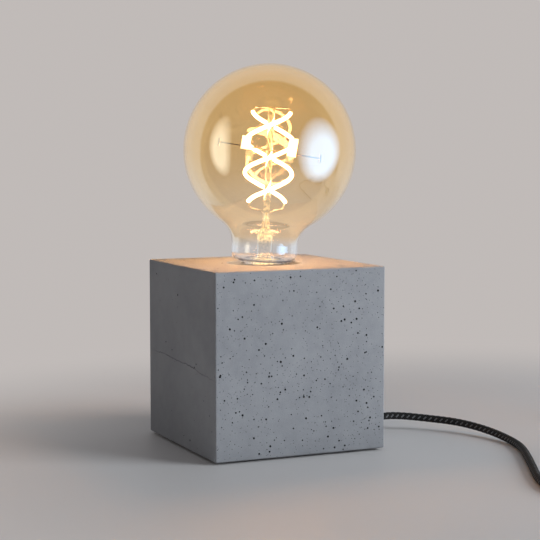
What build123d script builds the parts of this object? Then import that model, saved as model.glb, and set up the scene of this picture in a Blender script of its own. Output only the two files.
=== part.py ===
from build123d import *
import os
from math import cos, floor, pi, radians, sin, sqrt, tan

# A concrete table lamp: a cast cube on thin pads, a lampholder sunk in its top, a globe bulb with
# two twisted filament strands, and a textile cord with a switch and a flat two-pin plug.
# Millimetres, +Z up. The origin is on the table under the middle of the cube, and the cord leaves
# through the +Y face.

# Cube
BLOCK_SIDE = 100.0
BLOCK_EDGE_R = 0.9
WALL_T = 17.0
CAVITY_CORNER_R = 6.0
BORE_GAP = 1.5
BORE_RIM_R = 0.7
HOLDER_RECESS = 3.5
INSERT_D = 4.6
INSERT_L = 7.0
INSERT_FIT = 0.05
INSERT_RELIEF = 1.0

# Base plate and pads
PLATE_T = 2.0
PLATE_LEDGE = 7.0
PLATE_FIT = 0.4
PLATE_RECESS = 0.2
PLATE_CORNER_R = 4.0
PLATE_SCREW_INSET = 3.2
FOOT_D = 14.0
FOOT_T = 1.4
FOOT_INSET = 4.0

# Small screws
SCREW_D = 3.0
SCREW_L = 7.5
SCREW_HEAD_D = 5.4
SCREW_HEAD_H = 1.1
SCREW_FIT = 0.1
HOLE_FIT = 0.25
SLOT_SHARE = 0.7
SLOT_W = 0.7
SLOT_DEPTH = 0.5

# Bar, nipple and lampholder
BAR_W = 15.0
BAR_T = 2.0
BAR_END_GAP = 2.0
NIPPLE_D = 9.9
NIPPLE_BORE_D = 7.0
NIPPLE_FIT = 0.1
WASHER_T = 1.0
WASHER_D = 17.0
WASHER_NOTCHES = 12
WASHER_NOTCH_R = 1.06
NUT_AF = 14.0
NUT_H = 4.0
DOME_H = 8.0
DOME_FOOT_R = 11.5
DOME_FLOOR_T = 3.2
DOME_NECK_H = 4.5
HOLDER_R = 19.0
HOLDER_WALL_T = 1.7
HOLDER_FIT = 0.2
CORE_T = 6.0
SHELL_H = 23.0
SHELL_T = 0.6
SHELL_TOP_GAP = 2.0
LIP_T = 2.0
LIP_GAP = 1.3
TONGUE_H = 2.5
TONGUE_T = 0.5
TONGUE_W = 5.0
TERMINAL_SIDE = 5.0
TERMINAL_H = 4.6
POST_D = 2.8
TERMINAL_HEAD_D = 4.1
TERMINAL_HEAD_H = 2.2

# Screw thread of bulb and lampholder
THREAD_PITCH = 3.629
THREAD_CORE_R = 12.1
THREAD_DEPTH = 1.0
THREAD_GAP = 0.35
THREAD_ROOT_W = 2.0
THREAD_CREST_W = 1.1
THREAD_SINK = 0.15

# Bulb cap
CAP_T = 0.5
CAP_RIM_R = 13.3
CAP_RIM_H = 3.5
CAP_RIM_BLEND = 1.5
CAP_STANDOFF = 3.5
CONTACT_GAP = 0.1
BUTTON_R = 4.2
BUTTON_H = 1.2
INSULATOR_H = 4.2
INSULATOR_TOP_R = 9.4
INSULATOR_FLANGE = 1.0
INSULATOR_FLANGE_T = 1.0
BOARD_T = 1.0
BOARD_FIT = 0.3
BOARD_RISE = 6.0
CAPACITOR_D = 6.3
CAPACITOR_H = 4.0
CHIP_SIDE = 5.0
CHIP_H = 1.6

# Bulb glass, which leans a little in its cap
GLASS_LEAN = 3.0
GLASS_LEAN_TOWARDS = 66.0
GLOBE_R = 48.0
GLASS_T = 0.9
NECK_R = 18.6
NECK_TOP = 10.7
NECK_BLEND_R = 13.0
NECK_FOOT_R = 5.2
NECK_FOOT_GAP = 0.9
TUBE_R = 10.9
TUBE_L = 7.0

# Stem, filament and its wires
STEM_R = 4.5
STEM_T = 0.9
STEM_FLARE_H = 11.0
STEM_BELL = 1.5
STEM_BELL_H = 2.5
STEM_BELL_DROP = 0.5
PINCH_W = 11.0
PINCH_TOP_W = 8.5
PINCH_T = 4.2
PINCH_H = 11.5
ROD_R = 1.8
ROD_PROUD = 2.3
FILAMENT_R = 1.05
FILAMENT_H = 49.5
FILAMENT_TURNS = 1.375
FILAMENT_MID_R = 13.4
FILAMENT_END_R = 11.2
FILAMENT_DROP = 3.9
FILAMENT_START = -90.3
STRAND_GAP = 0.15
WIRE_R = 0.35
WIRE_BEND_R = 0.8
WIRE_KNEE = 1.5
WIRE_LIFT = 1.2
WIRE_CLIMB = 1.0
LEAD_RISE = 6.2
SUPPORT_REACH = 28.5
SUPPORT_SLOPE = 6.5
SUPPORT_AZIMUTH = 65.7
SUPPORT_TIP = 2.2
SUPPORT_TIP_R = 0.56
CLIP_L = 5.0
CLIP_W = 2.4
CLIP_CORNER_R = 0.6
CLIP_OVER_STRAND = 2.3
CLIP_UNDER_WIRE = 1.6

# Cord
CORD_D = 4.3
CORD_FIT = 0.15
EXIT_Z = 8.4
BUSH_R = 3.5
BUSH_FLANGE_R = 4.8
BUSH_FLANGE_T = 2.0
SLEEVE_ROOT_R = 4.3
SLEEVE_TIP_R = 2.9
SLEEVE_L = 20.0
LEAD_D = 1.8
LEAD_GAP = 0.2
LEAD_BEND_R = 2.5
GRIP_R = 7.5
GRIP_H = 16.0
GRIP_THREAD_L = 6.5
GRIP_SCREW_D = 4.0
GRIP_SCREW_RISE = 4.5
GRIP_EDGE = 1.0

# Cord on the table: from the sleeve behind the cube to the switch
CORD_RUN_OUT = 13.0
SWITCH_ROUTE = [
    (9.0, 101.0, 6.9),
    (24.0, 114.0, 6.1),
    (43.0, 121.5, 4.2),
    (64.0, 123.0, 2.15),
    (84.0, 117.0, 2.15),
    (105.0, 106.5, 2.15),
    (131.0, 92.5, 2.15),
    (152.0, 81.0, 2.15),
    (172.0, 73.5, 2.15),
    (191.0, 74.5, 2.15),
    (204.5, 87.0, 4.6),
    (208.5, 103.0, 7.5),
    (208.5, 118.0, 7.5),
]
# Middle points between the switch and the coil, and between the coil and the plug
COIL_ROUTE = [
    (200.5, 228.9, 5.4),
]
PLUG_ROUTE = [
    (137.0, 233.5, 13.8),
    (122.0, 229.5, 9.4),
]
PLUG_INLET = (92.0, 226.5, 6.8)
PLUG_HEADING = (-1.0, 0.0, 0.0)

# Tied coil
COIL_AT = (169.6, 207.0)
COIL_LAYERS = 4
COIL_TURNS_PER_LAYER = 2.25
COIL_MEAN_R = 22.8
COIL_STEP = 5.0
COIL_LAYER_STEP = 4.8
COIL_FOLD = 0.25
COIL_RUN_IN = 14.0
TIE_T = 1.0
TIE_W = 8.0
TIE_GAP = 0.3
TIE_AT = 210.0

# Cord switch
SWITCH_L = 42.0
SWITCH_W = 22.0
SWITCH_H = 17.0
SWITCH_SPLIT_Z = 7.5
SWITCH_WALL_T = 1.8
SWITCH_CORNER_R = 5.0
SWITCH_EDGE_R = 2.0
ROCKER_L = 16.0
ROCKER_W = 9.6
ROCKER_H = 6.0
ROCKER_SIDE_GAP = 0.4
ROCKER_END_GAP = 1.0
ROCKER_TILT = 9.0
ROCKER_PROUD = 1.6
PIVOT_R = 1.3
PIVOT_L = 1.5
PIVOT_FIT = 0.3
PIVOT_POST_L = 5.0
BLADE_T = 0.6
BLADE_W = 4.0
BLADE_L = 3.6
BLADE_GAP = 0.3
CONTACT_L = 7.0
CONTACT_W = 5.0
CONTACT_H = 3.0
CONTACT_POST_H = 9.4
BOSS_R = 2.6
SWITCH_SCREW_D = 2.2
SWITCH_SCREW_X = 14.5
SWITCH_SCREW_Y = 6.5

# Plug
PLUG_L = 36.0
PLUG_W = 26.0
PLUG_REAR_W = 15.0
PLUG_NOSE_L = 14.0
PLUG_H = 13.6
PLUG_EDGE_R = 2.5
PLUG_RIM_R = 2.0
PLUG_FACE_TAPER = 1.0
PIN_D = 4.0
PIN_L = 19.0
PIN_SPAN = 18.6
PIN_ROOT_L = 8.0
PIN_SLEEVE_L = 10.0
PIN_SLEEVE_T = 0.4
PIN_SLEEVE_STEP = 0.3
PIN_TIP_R = 1.2

# Heights, from the table up
block_z0 = FOOT_T - PLATE_RECESS
block_z1 = block_z0 + BLOCK_SIDE
plate_top = FOOT_T + PLATE_T
holder_h = DOME_H + DOME_NECK_H + CORE_T + SHELL_H + SHELL_TOP_GAP + LIP_T
ceiling_z = block_z1 - HOLDER_RECESS - holder_h
dome_top = ceiling_z + DOME_H
core_z0 = dome_top + DOME_NECK_H
core_z1 = core_z0 + CORE_T
holder_top = ceiling_z + holder_h
tongue_z = core_z1 + TONGUE_H
button_z = tongue_z + CONTACT_GAP
insulator_z = button_z + BUTTON_H + CONTACT_GAP
cap_z0 = insulator_z + INSULATOR_H
rim_z = holder_top + CAP_STANDOFF
bar_z0 = ceiling_z - BAR_T
nut_z0 = bar_z0 - WASHER_T - NUT_H
nipple_z0 = nut_z0 - GRIP_THREAD_L
nipple_z1 = ceiling_z + DOME_FLOOR_T
grip_z1 = nut_z0
grip_z0 = grip_z1 - GRIP_H

# Widths
wall_y = BLOCK_SIDE / 2
cavity_side = BLOCK_SIDE - 2 * WALL_T
rebate_side = cavity_side + 2 * PLATE_LEDGE
plate_side = rebate_side - PLATE_FIT
plate_screw_pitch = plate_side - 2 * PLATE_SCREW_INSET
foot_pitch = cavity_side - 2 * FOOT_INSET
bore_r = HOLDER_R + BORE_GAP
bar_l = cavity_side - 2 * BAR_END_GAP
bar_screw_pitch = bore_r + bar_l / 2
thread_crest_r = THREAD_CORE_R + THREAD_DEPTH
shell_bore_r = thread_crest_r + THREAD_GAP
shell_r = shell_bore_r + SHELL_T
neck_of_dome_r = HOLDER_R - HOLDER_WALL_T - HOLDER_FIT
lip_r = thread_crest_r + LIP_GAP
cord_r = CORD_D / 2
cord_bore_r = cord_r + CORD_FIT

os.makedirs("parts", exist_ok=True)


def turned_from(base, at, along, normal):
    """Plane at a point of another plane's own axes, with its X and Z directions given there too."""
    start = base.from_local_coords(Vector(0, 0, 0))
    return Plane(
        origin=base.from_local_coords(Vector(*at)),
        x_dir=base.from_local_coords(Vector(*along)) - start,
        z_dir=base.from_local_coords(Vector(*normal)) - start,
    )


def bend_radii(points):
    """For each corner of a cord's route, the largest arc that its two runs take."""
    corners = [Vector(*p) for p in points]
    run_share = 0.45
    radii = []
    for before, at, after in zip(corners, corners[1:], corners[2:]):
        turn = radians((at - before).get_angle(after - at))
        run = min((at - before).length, (after - at).length)
        radii.append(run_share * run / tan(turn / 2))
    return radii


def rounded_route(points, radii):
    """Straight runs joined by tangent arcs."""
    with BuildLine() as line:
        FilletPolyline(*points, radius=radii)
    return line.wire()


def smooth_route(points, tangents, lead_in=0.0, lead_out=0.0):
    """Two arcs from each point to the next, tangent throughout, with straight ends."""
    with BuildLine() as line:
        if lead_in:
            Line(points[0] - tangents[0] * lead_in, points[0])
        for here, go, there, arrive in zip(points, tangents, points[1:], tangents[1:]):
            span = there - here
            lean = span.dot(go + arrive)
            spread = 2 * (1 - go.dot(arrive))
            reach = (sqrt(lean**2 + spread * span.dot(span)) - lean) / spread
            middle = (here + there + (go - arrive) * reach) * 0.5
            first = TangentArc(here, middle, tangent=go)
            TangentArc(middle, there, tangent=first % 1)
        if lead_out:
            Line(points[-1], points[-1] + tangents[-1] * lead_out)
    return line.wire()


def tubes(routes, radius):
    """One round bar along each route."""
    with BuildPart() as piece:
        for path in routes:
            with BuildSketch(Plane(origin=path @ 0, z_dir=path % 0)):
                Circle(radius)
            sweep(path=path)
    return piece


def turned(section, axis, outline):
    """Solid of revolution from a closed outline of (radius, height) points."""
    with BuildPart() as piece:
        with BuildSketch(section):
            with BuildLine():
                Polyline(*outline, close=True)
            make_face()
        revolve(axis=axis)
    return piece


def pan_screws(seats, diameter, length, head_d, head_h):
    """Pan-head screws with a cross slot. A seat's normal leads into the work."""
    with BuildPart() as screws:
        for seat in seats:
            with BuildSketch(seat):
                Circle(diameter / 2)
            extrude(amount=length)
            with BuildSketch(seat):
                Circle(head_d / 2)
            extrude(amount=-head_h)
            with BuildSketch(seat.offset(-head_h)):
                Rectangle(SLOT_SHARE * head_d, SLOT_W)
                Rectangle(SLOT_W, SLOT_SHARE * head_d)
            extrude(amount=SLOT_DEPTH, mode=Mode.SUBTRACT)
    return screws


def thread_ridge(root_r, crest_r, z0, height):
    """Helical ridge, right-handed, from a root radius to a crest radius."""
    with BuildLine() as line:
        Helix(THREAD_PITCH, height, root_r, center=(0, 0, z0))
    path = line.wire()
    with BuildPart() as ridge:
        with BuildSketch(Plane(origin=path @ 0, x_dir=(1, 0, 0), z_dir=path % 0)):
            with BuildLine():
                Polyline(
                    (0, -THREAD_ROOT_W / 2),
                    (crest_r - root_r, -THREAD_CREST_W / 2),
                    (crest_r - root_r, THREAD_CREST_W / 2),
                    (0, THREAD_ROOT_W / 2),
                    close=True,
                )
            make_face()
        sweep(path=path, is_frenet=True)
    return ridge.part


# Cube: cast concrete, hollow from below, bored from above
plate_screw_spots = GridLocations(plate_screw_pitch, plate_screw_pitch, 2, 2)
bar_screw_spots = GridLocations(bar_screw_pitch, 1, 2, 1)
exit_plane = Plane(origin=(0, wall_y, EXIT_Z), x_dir=(1, 0, 0), z_dir=(0, 1, 0))

with BuildPart() as concrete_block:
    with BuildSketch(Plane.XY.offset(block_z0)):
        Rectangle(BLOCK_SIDE, BLOCK_SIDE)
    extrude(amount=BLOCK_SIDE)
    fillet(concrete_block.edges(), BLOCK_EDGE_R)
    with BuildSketch(Plane.XY.offset(block_z0)):
        RectangleRounded(rebate_side, rebate_side, PLATE_CORNER_R)
    extrude(amount=plate_top - block_z0, mode=Mode.SUBTRACT)
    with BuildSketch(Plane.XY.offset(plate_top)):
        RectangleRounded(cavity_side, cavity_side, CAVITY_CORNER_R)
    extrude(amount=ceiling_z - plate_top, mode=Mode.SUBTRACT)
    with BuildSketch(Plane.XY.offset(ceiling_z)):
        Circle(bore_r)
    extrude(amount=block_z1 - ceiling_z, mode=Mode.SUBTRACT)
    bore_rim = concrete_block.edges().filter_by(GeomType.CIRCLE).sort_by(Axis.Z)[-1]
    fillet(bore_rim, BORE_RIM_R)
    with BuildSketch(Plane.XY.offset(plate_top)):
        with plate_screw_spots:
            Circle(INSERT_D / 2 + INSERT_FIT)
    extrude(amount=INSERT_L + INSERT_RELIEF, mode=Mode.SUBTRACT)
    with BuildSketch(Plane.XY.offset(ceiling_z)):
        with bar_screw_spots:
            Circle(INSERT_D / 2 + INSERT_FIT)
    extrude(amount=INSERT_L + INSERT_RELIEF, mode=Mode.SUBTRACT)
    with BuildSketch(exit_plane):
        Circle(BUSH_R + INSERT_FIT)
    extrude(amount=-WALL_T, mode=Mode.SUBTRACT)

# Threaded inserts cast into the ledge and into the ceiling
with BuildPart() as base_inserts:
    with BuildSketch(Plane.XY.offset(plate_top)):
        with plate_screw_spots:
            Circle(INSERT_D / 2)
            Circle(SCREW_D / 2 + SCREW_FIT, mode=Mode.SUBTRACT)
    extrude(amount=INSERT_L)

with BuildPart() as bar_inserts:
    with BuildSketch(Plane.XY.offset(ceiling_z)):
        with bar_screw_spots:
            Circle(INSERT_D / 2)
            Circle(SCREW_D / 2 + SCREW_FIT, mode=Mode.SUBTRACT)
    extrude(amount=INSERT_L)

# Steel plate that closes the cube from below, its screws and the felt pads under it
with BuildPart() as base_plate:
    with BuildSketch(Plane.XY.offset(FOOT_T)):
        RectangleRounded(plate_side, plate_side, PLATE_CORNER_R)
        with plate_screw_spots:
            Circle(SCREW_D / 2 + HOLE_FIT, mode=Mode.SUBTRACT)
    extrude(amount=PLATE_T)

base_screw_seats = [
    Plane(origin=(x * plate_screw_pitch / 2, y * plate_screw_pitch / 2, FOOT_T))
    for x in (-1, 1)
    for y in (-1, 1)
]
base_screws = pan_screws(base_screw_seats, SCREW_D, SCREW_L, SCREW_HEAD_D, SCREW_HEAD_H)

with BuildPart() as feet:
    with BuildSketch():
        with GridLocations(foot_pitch, foot_pitch, 2, 2):
            Circle(FOOT_D / 2)
    extrude(amount=FOOT_T)

# Steel bar across the bore, under the ceiling, that carries the lampholder
with BuildPart() as holder_bar:
    with BuildSketch(Plane.XY.offset(bar_z0)):
        RectangleRounded(bar_l, BAR_W, BAR_W / 4)
        with bar_screw_spots:
            Circle(SCREW_D / 2 + HOLE_FIT, mode=Mode.SUBTRACT)
        Circle(NIPPLE_D / 2 + NIPPLE_FIT, mode=Mode.SUBTRACT)
    extrude(amount=BAR_T)

bar_screw_seats = [Plane(origin=(x * bar_screw_pitch / 2, 0, bar_z0)) for x in (-1, 1)]
bar_screws = pan_screws(bar_screw_seats, SCREW_D, SCREW_L, SCREW_HEAD_D, SCREW_HEAD_H)

# Hollow threaded nipple, its lock washer and its nut
with BuildPart() as nipple:
    with BuildSketch(Plane.XY.offset(nipple_z0)):
        Circle(NIPPLE_D / 2)
        Circle(NIPPLE_BORE_D / 2, mode=Mode.SUBTRACT)
    extrude(amount=nipple_z1 - nipple_z0)

with BuildPart() as lock_washer:
    with BuildSketch(Plane.XY.offset(bar_z0 - WASHER_T)):
        Circle(WASHER_D / 2)
        Circle(NIPPLE_D / 2 + NIPPLE_FIT, mode=Mode.SUBTRACT)
        with PolarLocations(WASHER_D / 2, WASHER_NOTCHES):
            Circle(WASHER_NOTCH_R, mode=Mode.SUBTRACT)
    extrude(amount=WASHER_T)

with BuildPart() as nipple_nut:
    with BuildSketch(Plane.XY.offset(nut_z0)):
        RegularPolygon(NUT_AF / 2, 6, major_radius=False)
        Circle(NIPPLE_D / 2 + NIPPLE_FIT, mode=Mode.SUBTRACT)
    extrude(amount=NUT_H)

# Lampholder: dome below, sleeve above, insulating core between them
dome_inside_r = neck_of_dome_r - HOLDER_WALL_T
holder_dome = turned(
    Plane.XZ,
    Axis.Z,
    [
        (NIPPLE_D / 2 + NIPPLE_FIT, ceiling_z),
        (DOME_FOOT_R, ceiling_z),
        (HOLDER_R, dome_top - HOLDER_WALL_T),
        (HOLDER_R, dome_top),
        (neck_of_dome_r, dome_top),
        (neck_of_dome_r, core_z0),
        (dome_inside_r, core_z0),
        (dome_inside_r, dome_top - HOLDER_WALL_T),
        (DOME_FOOT_R, ceiling_z + DOME_FLOOR_T),
        (NIPPLE_D / 2 + NIPPLE_FIT, ceiling_z + DOME_FLOOR_T),
    ],
)

sleeve_inside_r = neck_of_dome_r + HOLDER_FIT
holder_sleeve = turned(
    Plane.XZ,
    Axis.Z,
    [
        (sleeve_inside_r, dome_top),
        (HOLDER_R, dome_top),
        (HOLDER_R, holder_top - LIP_T / 2),
        (HOLDER_R - LIP_T / 2, holder_top),
        (lip_r, holder_top),
        (lip_r, holder_top - LIP_T),
        (sleeve_inside_r, holder_top - LIP_T),
    ],
)

side_post_x = -(shell_bore_r + shell_r) / 2 + POST_D / 2
centre_post_x = TERMINAL_SIDE + POST_D / 2
post_spots = Locations((side_post_x, 0), (centre_post_x, 0))
with BuildPart() as holder_core:
    with BuildSketch(Plane.XY.offset(core_z0)):
        Circle(neck_of_dome_r)
        with post_spots:
            Circle(POST_D / 2 + SCREW_FIT, mode=Mode.SUBTRACT)
    extrude(amount=CORE_T)

# Brass screw shell: a drawn tube with its thread rolled inwards and a foot flange
female_thread = thread_ridge(
    shell_bore_r + THREAD_SINK,
    shell_bore_r - THREAD_DEPTH,
    core_z1 + THREAD_PITCH / 2,
    SHELL_H - THREAD_PITCH,
)
with BuildPart() as screw_shell:
    with BuildSketch(Plane.XY.offset(core_z1)):
        Circle(shell_r)
        Circle(shell_bore_r, mode=Mode.SUBTRACT)
    extrude(amount=SHELL_H)
    with BuildSketch(Plane.XY.offset(core_z1)):
        Circle(shell_r)
        Circle(shell_bore_r - POST_D, mode=Mode.SUBTRACT)
    extrude(amount=SHELL_T)
    add(female_thread)

# Contacts: a sprung tongue under the bulb and a strap to the shell, each on a riveted terminal
terminal_z0 = core_z0 - TERMINAL_H
terminal_zc = terminal_z0 + TERMINAL_H / 2
with BuildPart() as side_contact:
    with BuildSketch(Plane.XY.offset(terminal_z0)):
        with Locations((side_post_x, 0)):
            Rectangle(TERMINAL_SIDE, TERMINAL_SIDE)
    extrude(amount=TERMINAL_H)
    with BuildSketch(Plane.XY.offset(core_z0)):
        with Locations((side_post_x, 0)):
            Circle(POST_D / 2)
    extrude(amount=CORE_T)

with BuildPart() as centre_contact:
    with BuildSketch(Plane.XY.offset(terminal_z0)):
        with Locations((centre_post_x, 0)):
            Rectangle(TERMINAL_SIDE, TERMINAL_SIDE)
    extrude(amount=TERMINAL_H)
    with BuildSketch(Plane.XY.offset(core_z0)):
        with Locations((centre_post_x, 0)):
            Circle(POST_D / 2)
    extrude(amount=CORE_T)
    with BuildSketch(Plane.XZ):
        with BuildLine():
            Polyline(
                (centre_post_x + POST_D / 2, core_z1),
                (centre_post_x + POST_D / 2, core_z1 + TONGUE_T),
                (centre_post_x - POST_D / 2, core_z1 + TONGUE_T),
                (BUTTON_R / 2, tongue_z),
                (-BUTTON_R, tongue_z),
                (-BUTTON_R, tongue_z - TONGUE_T),
                (BUTTON_R / 2, tongue_z - TONGUE_T),
                (centre_post_x - POST_D / 2, core_z1),
                close=True,
            )
        make_face()
    extrude(amount=TONGUE_W / 2, both=True)

terminal_face_y = -TERMINAL_SIDE / 2
terminal_seats = [
    Plane(origin=(x, terminal_face_y, terminal_zc), x_dir=(1, 0, 0), z_dir=(0, 1, 0))
    for x in (side_post_x, centre_post_x)
]
with BuildPart() as terminal_screws:
    for seat in terminal_seats:
        with BuildSketch(seat):
            Circle(TERMINAL_HEAD_D / 2)
        extrude(amount=-TERMINAL_HEAD_H)
        with BuildSketch(seat.offset(-TERMINAL_HEAD_H)):
            Rectangle(TERMINAL_HEAD_D + SLOT_W, SLOT_W)
        extrude(amount=SLOT_DEPTH, mode=Mode.SUBTRACT)

# Cord grip screwed on the nipple's lower end, with its clamping screw
grip_screw_plane = Plane(
    origin=(cord_r + CORD_FIT, 0, grip_z0 + GRIP_SCREW_RISE), x_dir=(0, 1, 0), z_dir=(1, 0, 0)
)
grip_screw_l = GRIP_R + GRIP_SCREW_D / 2 - cord_r
with BuildPart() as cord_grip:
    with BuildSketch(Plane.XY.offset(grip_z0)):
        Circle(GRIP_R)
        Circle(cord_bore_r, mode=Mode.SUBTRACT)
    extrude(amount=GRIP_H)
    grip_foot_edges = cord_grip.edges().filter_by(GeomType.CIRCLE).group_by(Axis.Z)[0]
    chamfer(grip_foot_edges.sort_by(SortBy.RADIUS)[-1], GRIP_EDGE)
    with BuildSketch(Plane.XY.offset(nipple_z0)):
        Circle(NIPPLE_D / 2 + NIPPLE_FIT)
    extrude(amount=GRIP_THREAD_L, mode=Mode.SUBTRACT)
    with BuildSketch(grip_screw_plane.offset(-grip_screw_plane.origin.X)):
        Circle(GRIP_SCREW_D / 2 + SCREW_FIT)
    extrude(amount=GRIP_R, mode=Mode.SUBTRACT)

with BuildPart() as grip_screw:
    with BuildSketch(grip_screw_plane):
        Circle(GRIP_SCREW_D / 2)
    extrude(amount=grip_screw_l)
    with BuildSketch(grip_screw_plane.offset(grip_screw_l)):
        Rectangle(GRIP_SCREW_D, SLOT_W)
    extrude(amount=-2 * SLOT_DEPTH, mode=Mode.SUBTRACT)

# Bush through the back wall: flanged on both sides, with a tapered sleeve outside
bush_in_y = wall_y - WALL_T - BUSH_FLANGE_T
sleeve_root_y = wall_y + BUSH_FLANGE_T
sleeve_tip_y = sleeve_root_y + SLEEVE_L
exit_section = Plane(origin=(0, 0, EXIT_Z), x_dir=(0, 0, 1), z_dir=(-1, 0, 0))
cord_bush = turned(
    exit_section,
    Axis((0, 0, EXIT_Z), (0, 1, 0)),
    [
        (cord_bore_r, bush_in_y),
        (BUSH_FLANGE_R, bush_in_y),
        (BUSH_FLANGE_R, wall_y - WALL_T),
        (BUSH_R, wall_y - WALL_T),
        (BUSH_R, wall_y),
        (BUSH_FLANGE_R, wall_y),
        (BUSH_FLANGE_R, sleeve_root_y),
        (SLEEVE_ROOT_R, sleeve_root_y),
        (SLEEVE_TIP_R, sleeve_tip_y),
        (cord_bore_r, sleeve_tip_y),
    ],
)

# Cord inside the cube, from the sleeve's tip to the grip, and its two leads to the terminals
cord_top = nipple_z0 - SLOT_DEPTH
inner_bend_r = min(grip_z0 - EXIT_Z, bush_in_y)
inner_points = [(0, sleeve_tip_y, EXIT_Z), (0, 0, EXIT_Z), (0, 0, cord_top)]
cord_inner = tubes([rounded_route(inner_points, [inner_bend_r])], cord_r)

lead_x = (LEAD_D + LEAD_GAP) / 2


def lead(side, face_x):
    """One insulated lead: up through the nipple and out to the inner face of a terminal."""
    points = [(side * lead_x, 0, cord_top), (side * lead_x, 0, terminal_zc), (face_x, 0, terminal_zc)]
    return tubes([rounded_route(points, [LEAD_BEND_R])], LEAD_D / 2)


lead_brown = lead(1, centre_post_x - TERMINAL_SIDE / 2)
lead_blue = lead(-1, side_post_x + TERMINAL_SIDE / 2)

# Bulb cap: drawn metal shell with its thread, glass insulator and contact button
male_thread = thread_ridge(
    THREAD_CORE_R - THREAD_SINK,
    thread_crest_r,
    core_z1 + THREAD_PITCH * (1 + floor((cap_z0 - core_z1) / THREAD_PITCH)),
    SHELL_H - THREAD_PITCH - (cap_z0 - core_z1),
)
cap_tube = turned(
    Plane.XZ,
    Axis.Z,
    [
        (INSULATOR_TOP_R + CONTACT_GAP, cap_z0),
        (THREAD_CORE_R, cap_z0),
        (THREAD_CORE_R, rim_z - CAP_RIM_H),
        (CAP_RIM_R, rim_z - CAP_RIM_H + CAP_RIM_BLEND),
        (CAP_RIM_R, rim_z),
        (CAP_RIM_R - CAP_T, rim_z),
        (CAP_RIM_R - CAP_T, rim_z - CAP_RIM_H + CAP_RIM_BLEND),
        (THREAD_CORE_R - CAP_T, rim_z - CAP_RIM_H),
        (THREAD_CORE_R - CAP_T, cap_z0 + CAP_T),
        (INSULATOR_TOP_R + CONTACT_GAP, cap_z0 + CAP_T),
    ],
)
with BuildPart() as bulb_cap:
    add(cap_tube.part)
    add(male_thread)

insulator_top = cap_z0 + CAP_T + INSULATOR_FLANGE_T
cap_insulator = turned(
    Plane.XZ,
    Axis.Z,
    [
        (0, insulator_z),
        (BUTTON_R + CAP_T, insulator_z),
        (INSULATOR_TOP_R, cap_z0),
        (INSULATOR_TOP_R, cap_z0 + CAP_T),
        (INSULATOR_TOP_R + INSULATOR_FLANGE, cap_z0 + CAP_T + CONTACT_GAP),
        (INSULATOR_TOP_R + INSULATOR_FLANGE, insulator_top),
        (0, insulator_top),
    ],
)

with BuildPart() as bulb_contact:
    with BuildSketch(Plane.XY.offset(button_z)):
        Circle(BUTTON_R)
    extrude(amount=BUTTON_H)
    fillet(bulb_contact.edges().sort_by(Axis.Z)[0], BUTTON_H / 2)

# Driver inside the cap: a round board with a capacitor and a chip
board_z = cap_z0 + BOARD_RISE
with BuildPart() as driver_board:
    with BuildSketch(Plane.XY.offset(board_z)):
        Circle(THREAD_CORE_R - CAP_T - BOARD_FIT)
    extrude(amount=BOARD_T)

with BuildPart() as driver_parts:
    with BuildSketch(Plane.XY.offset(board_z)):
        with Locations((CAPACITOR_D / 2, 0)):
            Circle(CAPACITOR_D / 2)
        with Locations((-CHIP_SIDE, 0)):
            Rectangle(CHIP_SIDE, CHIP_SIDE)
    extrude(amount=-CHIP_H)
    with BuildSketch(Plane.XY.offset(board_z - CHIP_H)):
        with Locations((CAPACITOR_D / 2, 0)):
            Circle(CAPACITOR_D / 2)
    extrude(amount=CHIP_H - CAPACITOR_H)

# Bulb glass: a globe blended into its neck, with a tube that sits in the cap
lean = radians(GLASS_LEAN)
lean_way = radians(GLASS_LEAN_TOWARDS)
lean_axis = Vector(sin(lean) * cos(lean_way), sin(lean) * sin(lean_way), cos(lean))
lean_side = Vector(-sin(lean_way), cos(lean_way), 0)
glass_plane = Plane(origin=(0, 0, rim_z), x_dir=lean_side.cross(lean_axis), z_dir=lean_axis)
glass_section = Plane(origin=(0, 0, rim_z), x_dir=glass_plane.x_dir, z_dir=lean_side * -1)
glass_axis = Axis((0, 0, rim_z), lean_axis)
plan_turn = GLASS_LEAN_TOWARDS

globe_z = NECK_TOP + sqrt((GLOBE_R + NECK_BLEND_R) ** 2 - (NECK_R + NECK_BLEND_R) ** 2)
blend_to_globe = Vector(-NECK_R - NECK_BLEND_R, globe_z - NECK_TOP).normalized()
blend_to_middle = (blend_to_globe + Vector(-1, 0)).normalized()
blend_centre = Vector(NECK_R + NECK_BLEND_R, NECK_TOP)
foot_centre = Vector(NECK_R - NECK_FOOT_R, NECK_FOOT_GAP + NECK_FOOT_R)


def glass_half(inset):
    """Half outline of the glass, set in by its wall: globe, blend, neck, rounded foot and tube."""
    globe_r = GLOBE_R - inset
    blend_r = NECK_BLEND_R + inset
    foot_r = NECK_FOOT_R - inset
    meets_globe = blend_centre + blend_to_globe * blend_r
    neck_end = Vector(NECK_R - inset, foot_centre.Y)
    foot_end = Vector(foot_centre.X, foot_centre.Y - foot_r)
    ThreePointArc((0, globe_z + globe_r), (globe_r, globe_z), meets_globe)
    ThreePointArc(meets_globe, blend_centre + blend_to_middle * blend_r, (NECK_R - inset, NECK_TOP))
    Line((NECK_R - inset, NECK_TOP), neck_end)
    ThreePointArc(neck_end, foot_centre + Vector(1, -1).normalized() * foot_r, foot_end)
    Polyline(foot_end, (TUBE_R - inset, foot_end.Y), (TUBE_R - inset, -TUBE_L))


with BuildPart() as bulb_glass:
    with BuildSketch(glass_section):
        with BuildLine():
            glass_half(0)
            glass_half(GLASS_T)
            Line((0, globe_z + GLOBE_R), (0, globe_z + GLOBE_R - GLASS_T))
            Line((TUBE_R, -TUBE_L), (TUBE_R - GLASS_T, -TUBE_L))
        make_face()
    revolve(axis=glass_axis)

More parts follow.
